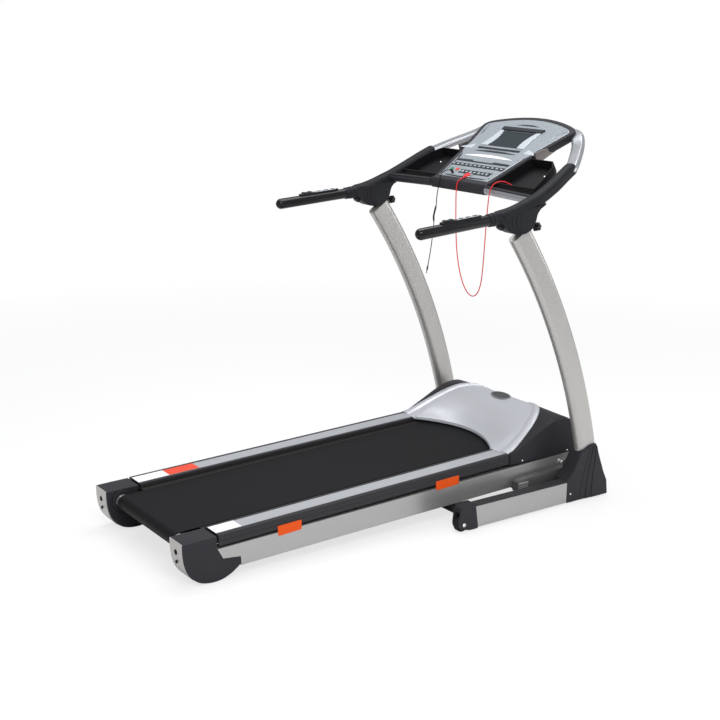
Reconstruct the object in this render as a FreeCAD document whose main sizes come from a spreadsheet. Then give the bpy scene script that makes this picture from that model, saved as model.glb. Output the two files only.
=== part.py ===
import FreeCAD, Part
import math
import os
import re

import Sketcher

# A folding motorised treadmill. +X runs along the length towards the console, +Y is the
# user's left, +Z is up. The origin is on the floor, in the middle of the length and width.

SIZES = {
    # overall
    "overall_length": 1780, "base_width": 900, "deck_width": 664,
    # deck, running surface and rollers
    "deck_slope": 1.95, "deck_rear_height": 157, "hood_reach": 420, "cap_length": 115,
    "rail_width": 92, "rail_plate": 6, "skirt_depth": 40, "skirt_wall": 5,
    "belt_margin": 16.5, "belt_thickness": 2, "belt_drop": 14, "board_thickness": 18,
    "board_margin": 14, "roller_radius": 24, "roller_margin": 18, "stub_radius": 8,
    "front_roller_back": 280, "rear_roller_in": 52,
    "tube_width": 40, "tube_wall": 2.5, "tube_rear_top": 113.5, "tube_front_top": 157.3,
    "tube_height": 78, "cross_height": 25, "cushion_radius": 12,
    # drive
    "dome_wall": 4, "hood_scoop": 90,
    "motor_radius": 46, "motor_length": 160, "motor_back": 172, "motor_height": 178,
    "shaft_radius": 7, "roller_pulley_radius": 38, "motor_pulley_radius": 16,
    "pulley_width": 14, "drive_belt_thickness": 3,
    # base frame
    "base_tube_width": 40, "base_tube_bottom": 8, "base_tube_height": 85, "base_wall": 3,
    "wheel_radius": 28, "wheel_width": 25, "axle_radius": 6, "foot_height": 4,
    "boot_width": 66, "boot_bottom": 4,
    # lift frame and its pins
    "lift_arm_width": 30, "pin_radius": 9, "pivot_radius": 8,
    "fold_back": 130, "fold_height": 118, "lift_pin_back": 108, "lift_pin_height": 100,
    "pivot_back": 379, "pivot_height": 84,
    # uprights, handlebar and console
    "upright_long": 92, "upright_thick": 42, "upright_wall": 2.5,
    "upright_inset": 32, "upright_top": 1055, "upright_top_back": 490,
    "hub_width": 60, "knob_stem_radius": 5, "knob_radius": 13, "grip_radius": 20,
    "pod_length": 170, "pod_width": 22, "pod_rise": 6, "pod_start": 60,
    "rocker_length": 44, "rocker_gap": 0.8, "rocker_pin_radius": 2.2, "rocker_back": 30,
    "sleeve_wide": 54, "sleeve_thick": 38, "loop_wide": 50, "loop_thick": 25,
    "crossbar_radius": 16, "console_tilt": 29.25, "console_back": 420,
    "console_height": 1192, "console_depth": 36, "console_wall": 4, "face_thickness": 4,
    "rim_width": 22, "screen_height": 106, "key_radius": 6, "key_rise": 3,
    "button_radius": 9, "key_row": 58, "key_count": 4, "tray_depth": 42,
    # free cords
    "cord_diameter": 4, "cable_diameter": 3.5,
    # clearances
    "running_gap": 0.05, "belt_gap": 0.3, "slip_gap": 0.3, "key_gap": 0.4,
    "bar_gap": 0.8, "return_gap": 6, "stem_reach": 0.9, "grip_tail": 28,
}

V = FreeCAD.Vector
X_AXIS = V(1, 0, 0)
Y_AXIS = V(0, 1, 0)
Z_AXIS = V(0, 0, 1)

doc = FreeCAD.newDocument("treadmill")
sheet = doc.addObject("Spreadsheet::Sheet", "Sizes")
for row, (alias, number) in enumerate(SIZES.items(), start=1):
    sheet.set(f"A{row}", alias)
    sheet.set(f"B{row}", str(number))
    sheet.setAlias(f"B{row}", alias)
doc.recompute()

nodes = {}


# ---------------------------------------------------------------- helpers

def size(alias):
    """The sheet's value for one size."""
    return float(getattr(sheet, alias))


def bound(text):
    """An expression whose size names point at their cells in the sheet."""
    return re.sub(r"[a-z_]+", lambda word: "Sizes." + word[0] if word[0] in SIZES else word[0], text)


def set_size(item, prop, amount):
    """Binds a property to an expression, or sets it where the amount is a plain number."""
    if isinstance(amount, str):
        item.setExpression(prop, bound(amount))
    else:
        setattr(item, prop, amount)


def placed(frame, x, y, z, turn=None):
    return frame.multiply(FreeCAD.Placement(V(x, y, z), turn or FreeCAD.Rotation()))


def box(name, frame, corner, length, width, height):
    item = doc.addObject("Part::Box", name)
    set_size(item, "Length", length)
    set_size(item, "Width", width)
    set_size(item, "Height", height)
    item.Placement = placed(frame, *corner)
    return item


def rod(name, frame, start, radius, length, along=Y_AXIS):
    item = doc.addObject("Part::Cylinder", name)
    set_size(item, "Radius", radius)
    set_size(item, "Height", length)
    item.Placement = placed(frame, *start, FreeCAD.Rotation(Z_AXIS, along))
    return item


def outline(name, frame, plane, points, thickness, lift=0):
    """A body padded from a polygon. Each corner is held by two named, bound dimensions.

    The pad of an XZ outline runs towards -Y, so lift is its +Y face. An XY outline pads
    towards +Z and a YZ outline towards +X from lift.
    """
    body = doc.addObject("PartDesign::Body", name)
    sketch = body.newObject("Sketcher::SketchObject", name + "_sketch")
    base = [item for item in body.Origin.OriginFeatures if item.Role == plane + "_Plane"][0]
    sketch.AttachmentSupport = [(base, "")]
    sketch.MapMode = "FlatFace"
    count = len(points)
    flat = [tuple(number_of(part) for part in point) for point in points]
    for index in range(count):
        a, b = flat[index], flat[(index + 1) % count]
        sketch.addGeometry(Part.LineSegment(V(*a, 0), V(*b, 0)), False)
    for index in range(count):
        sketch.addConstraint(Sketcher.Constraint("Coincident", index, 2, (index + 1) % count, 1))
    for index in range(count):
        for kind, part, axis in (("DistanceX", 0, "across"), ("DistanceY", 1, "up")):
            number = sketch.addConstraint(
                Sketcher.Constraint(kind, -1, 1, index, 1, flat[index][part]))
            label = f"{axis}_{index}"
            sketch.renameConstraint(number, label)
            if isinstance(points[index][part], str):
                sketch.setExpression("Constraints." + label, bound(points[index][part]))
    pad = body.newObject("PartDesign::Pad", name + "_pad")
    pad.Profile = sketch
    set_size(pad, "Length", thickness)
    shift = {"XZ": (0, lift, 0), "XY": (0, 0, lift), "YZ": (lift, 0, 0)}[plane]
    body.Placement = placed(frame, *shift)
    return body


def number_of(part):
    """The value of a point's part: a number, or sizes and numbers joined by + - * /."""
    if not isinstance(part, str):
        return part
    total, sign = 0.0, 1.0
    for token in re.findall(r"[+-]|[^+\-\s]+", part):
        if token in "+-":
            sign = -1.0 if token == "-" else 1.0
            continue
        product = 1.0
        for index, piece in enumerate(re.split(r"([*/])", token)):
            if piece in "*/":
                divide = piece == "/"
            else:
                factor = size(piece) if piece in SIZES else float(piece)
                product = product / factor if index and divide else product * factor
        total += sign * product
    return total


def fuse(name, *items):
    item = doc.addObject("Part::MultiFuse", name)
    item.Shapes = list(items)
    return item


def cut(name, base, *tools):
    item = doc.addObject("Part::Cut", name)
    item.Base = base
    item.Tool = tools[0] if len(tools) == 1 else fuse(name + "_tool", *tools)
    return item


def group(name, *items):
    item = doc.addObject("Part::Compound", name)
    item.Links = list(items)
    return item


def shaped(name, shape):
    item = doc.addObject("Part::Feature", name)
    item.Shape = shape
    return item


def node(name, item):
    """Registers a finished sub-part: its label names its file."""
    item.Label = name
    nodes[name] = item
    return item


def sides():
    """Both sides of the machine: name and sign of Y."""
    return (("left", 1), ("right", -1))


def near_edge(side, low, high):
    """The lower Y of a span that runs from low to high, outwards from the middle."""
    return low if side > 0 else -high


def far_edge(side, low, high):
    return high if side > 0 else -low


def oval_wire(centre, along, flat_normal, wide, thick):
    """A flat oval across a path: two straight sides and two round ends."""
    along = V(along).normalize()
    across = flat_normal.cross(along).normalize()
    upward = along.cross(across).normalize()
    half = (wide - thick) / 2
    radius = thick / 2

    def spot(a, b):
        return centre + across * a + upward * b

    edges = [
        Part.LineSegment(spot(-half, radius), spot(half, radius)).toShape(),
        Part.Arc(spot(half, radius), spot(half + radius, 0), spot(half, -radius)).toShape(),
        Part.LineSegment(spot(half, -radius), spot(-half, -radius)).toShape(),
        Part.Arc(spot(-half, -radius), spot(-half - radius, 0), spot(-half, radius)).toShape(),
    ]
    return Part.Wire(edges)


def swept(path_edges, section, binormal):
    """A solid of one section carried along a path, its flat kept square to binormal."""
    maker = Part.BRepOffsetAPI.MakePipeShell(Part.Wire(path_edges))
    maker.setBiNormalMode(binormal)
    maker.setTransitionMode(1)
    maker.add(section)
    maker.build()
    maker.makeSolid()
    return maker.shape()


# ---------------------------------------------------------------- reference frames

HALF_LENGTH = size("overall_length") / 2
REAR = FreeCAD.Placement(V(-HALF_LENGTH, 0, 0), FreeCAD.Rotation())
FRONT = FreeCAD.Placement(V(HALF_LENGTH, 0, 0), FreeCAD.Rotation())
DECK = FreeCAD.Placement(V(-HALF_LENGTH, 0, size("deck_rear_height")),
                         FreeCAD.Rotation(Y_AXIS, -size("deck_slope")))
CONSOLE = FreeCAD.Placement(V(HALF_LENGTH - size("console_back"), 0, size("console_height")),
                            FreeCAD.Rotation(Y_AXIS, -size("console_tilt")))
PANEL_NORMAL = CONSOLE.Rotation.multVec(Z_AXIS)

base_half = size("base_width") / 2
deck_half = size("deck_width") / 2
base_inner = base_half - size("base_tube_width")


# ---------------------------------------------------------------- base frame

def pivot_ear(side):
    """The ear and pin on a base rail that carry the lift frame."""
    back, high = size("pivot_back"), size("pivot_height")
    ear_inner = lift_outer + 2.5
    ear = box(f"ear_{side}", FRONT, (-back - 24, near_edge(side, ear_inner, ear_inner + 6), 20),
              48, 6, "pivot_height - 20 + 18")
    tab_width = base_inner - ear_inner - 6
    tab = box(f"tab_{side}", FRONT, (-back - 24, near_edge(side, ear_inner + 6, base_inner), 20),
              48, tab_width, 12)
    pin = rod(f"pivot_pin_{side}", FRONT, (-back, near_edge(side, lift_inner, ear_inner), high),
              "pivot_radius", ear_inner - lift_inner)
    return [ear, tab, pin]


def base_rail(side, name):
    outer = outline(f"rail_outer_{name}", FRONT, "XZ", [
        (-668, "base_tube_bottom + base_tube_height"), (-655, "base_tube_bottom"),
        (-217.3, "base_tube_bottom"), (-217.3, "base_tube_bottom + base_tube_height")],
        "base_tube_width", far_edge(side, base_inner, base_half))
    bore = outline(f"rail_bore_{name}", FRONT, "XZ", [
        (-700, "base_tube_bottom + base_tube_height - base_wall"),
        (-700, "base_tube_bottom + base_wall"), (-200, "base_tube_bottom + base_wall"),
        (-200, "base_tube_bottom + base_tube_height - base_wall")],
        "base_tube_width - 2*base_wall",
        far_edge(side, base_inner, base_half) - size("base_wall"))
    tube = cut(f"rail_tube_{name}", outer, bore)
    return node(f"base_rail_{name}", fuse(f"rail_all_{name}", tube, *pivot_ear(side)))


def base_cross_tubes():
    """Cross tubes between the base rails at the rear and between the boots at the front."""
    rear = box("cross_rear", FRONT, (-650, -base_inner, 12), 40, "base_width - 2*base_tube_width", 40)
    boot_inner = base_half - size("boot_width")
    front = box("cross_front", FRONT, (-80, -boot_inner, 10), 50, "base_width - 2*boot_width", 38)
    return node("base_cross_tubes", group("cross_tubes", rear, front))


def wheel_bracket(side, name):
    """A slanted end bracket with a pocket round the transport wheel and a fixed axle."""
    block = outline(f"bracket_block_{name}", FRONT, "XZ", [
        (-737, 92), (-722, 103), (-669.8, 103), (-654.5, 3), (-692, 3), (-742, 22)],
        "base_tube_width", far_edge(side, base_inner, base_half))
    pocket = box(f"bracket_pocket_{name}", FRONT,
                 (-760, near_edge(side, base_inner + 6, base_half - 6), -10), 76,
                 "base_tube_width - 12", 72)
    axle = rod(f"bracket_axle_{name}", FRONT,
               (-719, near_edge(side, base_inner + 6, base_half - 6), size("wheel_radius")), "axle_radius",
               "base_tube_width - 12")
    shell = cut(f"bracket_shell_{name}", block, pocket)
    return fuse(f"bracket_{name}", shell, axle)


def transport_wheel(side, name):
    middle = base_half - size("base_tube_width") / 2
    low = side * middle - size("wheel_width") / 2
    tyre = rod(f"tyre_{name}", FRONT, (-719, low, size("wheel_radius")), "wheel_radius",
               "wheel_width")
    bore = rod(f"wheel_bore_{name}", FRONT, (-719, low - 1, size("wheel_radius")),
               "axle_radius + running_gap", "wheel_width + 2")
    return node(f"transport_wheel_{name}", cut(f"wheel_{name}", tyre, bore))


def base_feet():
    """Rubber feet: two under each boot, and one under each wheel bracket."""
    feet = []
    for name, side in sides():
        middle = side * (base_half - size("boot_width") / 2 + 4)
        for index, back in enumerate((182, 36)):
            feet.append(rod(f"foot_{name}_{index}", FRONT, (-back, middle, 0), 18,
                            "boot_bottom", Z_AXIS))
        feet.append(rod(f"foot_{name}_rear", FRONT,
                        (-672, side * (base_half - size("base_tube_width") / 2), 0), 12, 3, Z_AXIS))
    return node("base_feet", group("feet", *feet))


def upright_shape(side):
    """A flat oval tube that leans back in one long arc from the boot up to the hub."""
    middle = side * (base_half - size("upright_inset"))
    foot = V(-82, middle, 100)
    waist = V(-242, middle, 620)
    top = V(-size("upright_top_back"), middle, size("upright_top"))
    arc = Part.Arc(foot, waist, top)
    start = arc.tangent(arc.FirstParameter)[0]
    bottom = foot - start * ((foot.z - 24) / start.z)
    path = [Part.LineSegment(bottom, foot).toShape(), arc.toShape()]
    tubes = []
    for wall in (0, size("upright_wall"), -size("slip_gap")):
        section = oval_wire(bottom, start, Y_AXIS, size("upright_long") - 2 * wall,
                            size("upright_thick") - 2 * wall)
        tubes.append(swept(path, section, Y_AXIS))
        tubes[-1].translate(V(HALF_LENGTH, 0, 0))
    return tubes


def upright(side, name):
    solid, core, socket = upright_shape(side)
    shaped(f"upright_socket_{name}", socket)
    return node(f"upright_{name}", shaped(f"upright_{name}", solid.cut(core)))


def boot(side, name):
    """The moulded cover at the foot of an upright, which stands inside it."""
    block = outline(f"boot_block_{name}", FRONT, "XZ", [
        (0, "boot_bottom"), (-8, 62), (-28, 101), (-70, 220), (-148, 198), (-184, 127),
        (-217, 96), (-217, "boot_bottom")],
        "boot_width", far_edge(side, base_half - size("boot_width"), base_half))
    return node(f"boot_{name}", cut(f"boot_cut_{name}", block, doc.getObject(f"upright_socket_{name}")))


# ---------------------------------------------------------------- handlebar

def hub_profile():
    top = size("upright_top")
    return [(-603, top + 81), (-607, top + 34), (-550, top + 11), (-493, top - 1),
            (-437, top + 16), (-425, top + 63), (-388, top + 95), (-412, top + 127),
            (-468, top + 114), (-576, top + 84)]


def handle_hub(side, name):
    """The joint cover where the upright, the grip, the arm and the crossbar meet."""
    middle = base_half - 22
    half = size("hub_width") / 2
    block = outline(f"hub_block_{name}", FRONT, "XZ", hub_profile(), "hub_width",
                    far_edge(side, middle - half, middle + half))
    bore = rod(f"hub_bore_{name}", FRONT,
               (-stem_back() - 2, side * middle, size("upright_top") + 19),
               "knob_stem_radius + running_gap", 60, X_AXIS)
    return node(f"handle_hub_{name}", cut(
        f"hub_cut_{name}", block, doc.getObject(f"upright_socket_{name}"), bore))


def stem_back():
    """How far behind the front face a clamp knob's stem ends, against the upright."""
    return size("upright_top_back") - size("upright_long") / 2 + size("stem_reach")


def clamp_knob(side, name):
    """A lobed hand knob whose stem screws into the front of the hub."""
    middle = side * (base_half - 22)
    high = size("upright_top") + 19
    stem = rod(f"knob_stem_{name}", FRONT, (-stem_back(), middle, high), "knob_stem_radius",
               stem_back() - 426, X_AXIS)
    hand = rod(f"knob_hand_{name}", FRONT, (-426, middle, high), "knob_radius", 22, X_AXIS)
    lobes = []
    for index in range(6):
        angle = math.radians(60 * index)
        reach = size("knob_radius")
        lobes.append(rod(f"knob_lobe_{name}_{index}", FRONT,
                         (-426, middle + reach * math.cos(angle), high + reach * math.sin(angle)),
                         "knob_radius / 3", 18, X_AXIS))
    return node(f"clamp_knob_{name}", fuse(f"knob_{name}", stem, hand, *lobes))


def grip_line(side):
    """The foot of a grip's control frame, the grip's joint with the hub, and its direction."""
    rear = V(HALF_LENGTH - 927 + size("grip_radius"), side * (base_half - 16), 1092)
    front = V(HALF_LENGTH - 603, side * (base_half - 22), size("upright_top") + 60)
    return rear, front, (front - rear).normalize()


def grip_frame(side):
    """The frame behind a grip's pod: X runs along the grip and Z stands on the pod."""
    rear, _, along = grip_line(side)
    return FreeCAD.Placement(rear, FreeCAD.Rotation(X_AXIS, along))


def rocker_bar(side, radius, width):
    """A round bar across the pod, on the axis that the rocker tilts about."""
    rise = size("grip_radius") + size("pod_rise") + size("rocker_gap")
    along = size("pod_start") + size("rocker_back")
    bar = Part.makeCylinder(radius, width, V(along, -width / 2, rise), Y_AXIS)
    bar.Placement = grip_frame(side).multiply(bar.Placement)
    return bar


def grip(side, name):
    """A straight padded tube with a rounded end and a low control pod on its top."""
    radius = size("grip_radius")
    rear, front, along = grip_line(side)
    run = (front - rear).Length
    end = rear - along * size("grip_tail")
    tube = Part.makeCylinder(radius, run + size("grip_tail"), end, along)
    ball = Part.makeSphere(radius, end)
    pod = Part.makeBox(size("pod_length"), size("pod_width"), radius + size("pod_rise"))
    pod.translate(V(0, -size("pod_width") / 2, 0))
    pod.translate(V(size("pod_start"), 0, 0))
    pod.Placement = grip_frame(side).multiply(pod.Placement)
    groove = rocker_bar(side, size("rocker_pin_radius") + size("slip_gap"), size("pod_width") - 6)
    shape = tube.fuse(ball).fuse(pod).removeSplitter().cut(groove)
    end_plane = Part.makeBox(80, 120, 120, V(HALF_LENGTH - 607, front.y - 60, front.z - 60))
    hub_block = doc.getObject(f"hub_block_{name}").Shape
    return node(f"grip_{name}", shaped(f"grip_{name}", shape.cut(hub_block).cut(end_plane)))


def rocker(side, name):
    """A rocker switch on a round bar that lies in the control pod's groove."""
    plate = Part.makeBox(size("rocker_length"), size("pod_width") - 4, 5)
    plate = plate.makeFillet(1.5, plate.Edges)
    plate.translate(V(size("pod_start") + size("rocker_back") - size("rocker_length") / 2,
                      2 - size("pod_width") / 2,
                      size("grip_radius") + size("pod_rise") + size("rocker_gap")))
    plate.Placement = grip_frame(side).multiply(plate.Placement)
    bar = rocker_bar(side, size("rocker_pin_radius"), size("pod_width") - 8)
    return node(f"rocker_{name}", shaped(f"rocker_{name}", plate.fuse(bar)))


def arm_path(side):
    """The sleeve's arc from the hub, and the loop's arc on from it to the console."""
    x = HALF_LENGTH
    hub_end = V(x - 412, side * (base_half - 19), size("upright_top") + 88)
    bend = V(x - 338, side * (base_half - 31), size("upright_top") + 142)
    sleeve_end = V(x - 230, side * (base_half - 53), size("upright_top") + 211)
    shoulder = V(x - 160, side * (base_half - 108), size("upright_top") + 250)
    loop_end = V(x - 86, side * (base_half - 178), size("upright_top") + 290)
    return (Part.Arc(hub_end, bend, sleeve_end), Part.Arc(sleeve_end, shoulder, loop_end))


def handlebar():
    """On each side a soft sleeve, then a bare flat oval tube up to the console."""
    sleeves, loops = [], []
    for name, side in sides():
        lower, upper = arm_path(side)
        start = lower.tangent(lower.FirstParameter)[0]
        section = oval_wire(lower.StartPoint, start, PANEL_NORMAL, size("sleeve_wide"),
                            size("sleeve_thick"))
        sleeve = swept([lower.toShape()], section, PANEL_NORMAL)
        sleeve = sleeve.cut(doc.getObject(f"hub_block_{name}").Shape)
        start = upper.tangent(upper.FirstParameter)[0]
        section = oval_wire(upper.StartPoint, start, PANEL_NORMAL, size("loop_wide"),
                            size("loop_thick"))
        loop = swept([upper.toShape()], section, PANEL_NORMAL).cut(sleeve)
        sleeves.append(shaped(f"sleeve_{name}", sleeve))
        loops.append(shaped(f"loop_{name}", loop.cut(console_block().Shape)))
    node("arm_sleeves", group("sleeves", *sleeves))
    node("handlebar_loops", group("loops", *loops))


def crossbars():
    """Straight bars from the console's lower corners to the hubs."""
    bars = []
    for name, side in sides():
        inner = V(HALF_LENGTH - 418, side * (console_low_half + size("bar_gap")), 1172)
        outer = V(HALF_LENGTH - 428, side * (base_half - 22 - size("hub_width") / 2), 1168)
        along = outer - inner
        bar = Part.makeCylinder(size("crossbar_radius"), along.Length + 20, inner, along)
        beyond = Part.makeBox(60, 60, 60, V(outer.x - 30, near_edge(side, abs(outer.y), abs(outer.y) + 60),
                                            outer.z - 30))
        bar = bar.cut(doc.getObject(f"hub_block_{name}").Shape).cut(beyond)
        bars.append(shaped(f"crossbar_{name}", bar))
    return node("crossbars", group("bars", *bars))


# ---------------------------------------------------------------- console

console_low_half = 158


def panel_outline(inset):
    """The panel's outline in the console's own plane: X runs up the slope."""
    arc_points = [(430, 170), (448, 95), (454, 0), (448, -95), (430, -170)]
    scale = [(0, console_low_half), (184, 196), (373, 256), (408, 222)]
    points = [(x + inset, y - inset * 0.95) for x, y in scale[:1]]
    points += [(184, 196 - inset), (373 - inset * 0.25, 256 - inset)]
    points += [(408 - inset * 0.7, 222 - inset * 0.7)]
    points += [(x - inset, y * (1 - inset / 260)) for x, y in arc_points]
    points += [(x, -y) for x, y in reversed(points[:4])]
    return points


def console_block():
    block = doc.getObject("console_block")
    if block is None:
        block = outline("console_block", CONSOLE, "XY", panel_outline(0), "console_depth",
                        -size("console_depth"))
        doc.recompute()
    return block


def console_shell():
    """The black tub: a raised rim round the face plate and a hollow for the electronics."""
    seat = outline("console_seat", CONSOLE, "XY", panel_outline(size("rim_width")),
                   "face_thickness + 5", -size("face_thickness"))
    hollow = outline("console_hollow", CONSOLE, "XY", panel_outline(size("rim_width") + 6),
                     "console_depth - console_wall - 2", -size("console_depth") + size("console_wall"))
    chin = outline("console_chin", FRONT, "XZ", [
        (-420.3, 1191.3), (-425, 1154), (-404, 1154), (-384, 1170), (-396, 1192), (-408, 1198)],
        2 * console_low_half, console_low_half)
    tub = fuse("console_chinned", console_block(), chin)
    return node("console_shell", cut("console_tub", tub, seat, hollow))


def key_places():
    """The lower row of hard keys beside the start and stop buttons."""
    return [(size("key_row"), 40 - 46 * index) for index in range(size_count("key_count"))]


def size_count(alias):
    return int(round(size(alias)))


def console_face():
    """The silver plate, with a hole for each key, a window for the display and a key seat."""
    inset = size("rim_width") + size("slip_gap")
    plate = outline("face_plate", CONSOLE, "XY", panel_outline(inset), "face_thickness",
                    -size("face_thickness"))
    thick = size("face_thickness")
    holes = []
    for index, (up, across) in enumerate(key_places()):
        holes.append(rod(f"key_hole_{index}", CONSOLE, (up, across, -thick - 1),
                         "key_radius + key_gap", "face_thickness + 2", Z_AXIS))
    for index, (up, across) in enumerate((START, STOP)):
        holes.append(rod(f"button_hole_{index}", CONSOLE, (up, across, -thick - 1),
                         "button_radius + key_gap", "face_thickness + 2", Z_AXIS))
    holes.append(box("strip_slot", CONSOLE, (STRIP_UP - 7, -STRIP_HALF, -thick - 1), 14,
                     2 * STRIP_HALF, "face_thickness + 2"))
    holes.append(box("window", CONSOLE, (SCREEN_LOW, -SCREEN_HALF, -thick - 1),
                     "screen_height", 2 * SCREEN_HALF, "face_thickness + 2"))
    return node("console_face", cut("face_cut", plate, *holes))


def pressed_button(name, place, radius):
    """A round button: a cap through the face plate and a flange behind it."""
    up, across = place
    thick = size("face_thickness")
    cap = rod(name + "_cap", CONSOLE, (up, across, -thick - 2), radius,
              "face_thickness + 2 + key_rise", Z_AXIS)
    flange = rod(name + "_flange", CONSOLE, (up, across, -thick - 2.5), radius + " + 2", 2, Z_AXIS)
    return node(name, fuse(name + "_all", cap, flange))


def console_controls():
    pressed_button("start_button", START, "button_radius")
    pressed_button("stop_button", STOP, "button_radius")
    for index, place in enumerate(key_places()):
        pressed_button(f"{KEY_NAMES[index]}_key", place, "key_radius")
    mat = box("strip_mat", CONSOLE, (STRIP_UP - 6.7, 0.3 - STRIP_HALF, -3), 13.4,
              2 * STRIP_HALF - 0.6, 3)
    bumps = []
    pitch = (2 * STRIP_HALF - 20) / 11
    for index in range(12):
        bumps.append(rod(f"strip_key_{index}", CONSOLE,
                         (STRIP_UP, STRIP_HALF - 10 - pitch * index, -1),
                         "key_radius", "key_rise + 1", Z_AXIS))
    node("quick_key_strip", fuse("strip", mat, *bumps))


def display():
    """The frame that stands round the screen, and the clear screen in it."""
    low, half = SCREEN_LOW, SCREEN_HALF
    outer = box("frame_outer", CONSOLE, (low - 14, -half - 32, 0), "screen_height + 40",
                2 * half + 64, 7)
    window = box("frame_window", CONSOLE, (low, -half, -1), "screen_height", 2 * half, 9)
    node("display_frame", cut("frame_cut", outer, window))
    node("display_screen", box("screen", CONSOLE, (low + 0.3, -half + 0.3, -4),
                               "screen_height - 0.6", 2 * half - 0.6, 6))


def side_trays():
    """Open trays between the console and the arms, for a bottle or a phone."""
    trays = []
    for name, side in sides():
        outer = [(24, 163.5), (24, 386), (95, 372), (160, 350), (196, 318), (196, 200.4),
                 (184, 196.5)]
        inner = [(28, 168.5), (28, 382), (93.5, 368), (158, 346.3), (192, 316), (192, 203.4),
                 (183, 200.7)]
        depth = size("tray_depth")
        tub = outline(f"tray_block_{name}", CONSOLE, "XY", [(x, side * y) for x, y in outer],
                      "tray_depth", -depth - 4)
        well = outline(f"tray_well_{name}", CONSOLE, "XY", [(x, side * y) for x, y in inner],
                       "tray_depth", -depth)
        trays.append(cut(f"tray_{name}", tub, well))
    return node("side_trays", group("trays", *trays))


def safety_key():
    """A flat round key that rests on the face plate and pulls straight off it."""
    up, across = SAFETY
    disc = rod("safety_disc", CONSOLE, (up, across, 0), 13, 7, Z_AXIS)
    tab = box("safety_tab", CONSOLE, (up - 17, across - 5, 0), 17, 10, 7)
    return node("safety_key", fuse("safety", disc, tab))


# ---------------------------------------------------------------- free cords

def cord_tube(name, points, diameter):
    """A round cord: straight runs joined by the largest tangent arcs that they allow."""
    points = [V(*point) for point in points]
    edges, radii, length = [], [], 0.0
    leave = points[0]
    for before, corner, after in zip(points, points[1:], points[2:]):
        inward = (corner - before).normalize()
        outward = (after - corner).normalize()
        turn = inward.getAngle(outward)
        shorter = min((corner - before).Length, (after - corner).Length)
        trim = 0.45 * shorter
        radii.append(trim / math.tan(turn / 2))
        enter, exit_point = corner - inward * trim, corner + outward * trim
        bisector = (outward - inward).normalize()
        centre = corner + bisector * math.hypot(trim, radii[-1])
        edges.append(Part.LineSegment(leave, enter).toShape())
        edges.append(Part.Arc(enter, centre - bisector * radii[-1], exit_point).toShape())
        length += (enter - leave).Length + radii[-1] * turn
        leave = exit_point
    edges.append(Part.LineSegment(leave, points[-1]).toShape())
    length += (points[-1] - leave).Length
    start = (points[1] - points[0]).normalize()
    section = Part.Wire([Part.Circle(points[0], start, diameter / 2).toShape()])
    shape = Part.Wire(edges).makePipeShell([section], True, False)
    expected = math.pi * diameter ** 2 / 4 * length
    print(name, "length", round(length, 1), "smallest radius", round(min(radii), 1),
          "radii", [round(radius, 1) for radius in radii],
          "volume ratio", round(shape.Volume / expected, 5))
    return node(name, shaped(name + "_tube", shape))


def console_point(up, across, rise):
    """A point above the panel, seen from the middle of the whole machine."""
    return CONSOLE.multVec(V(up, across, rise))


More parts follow.
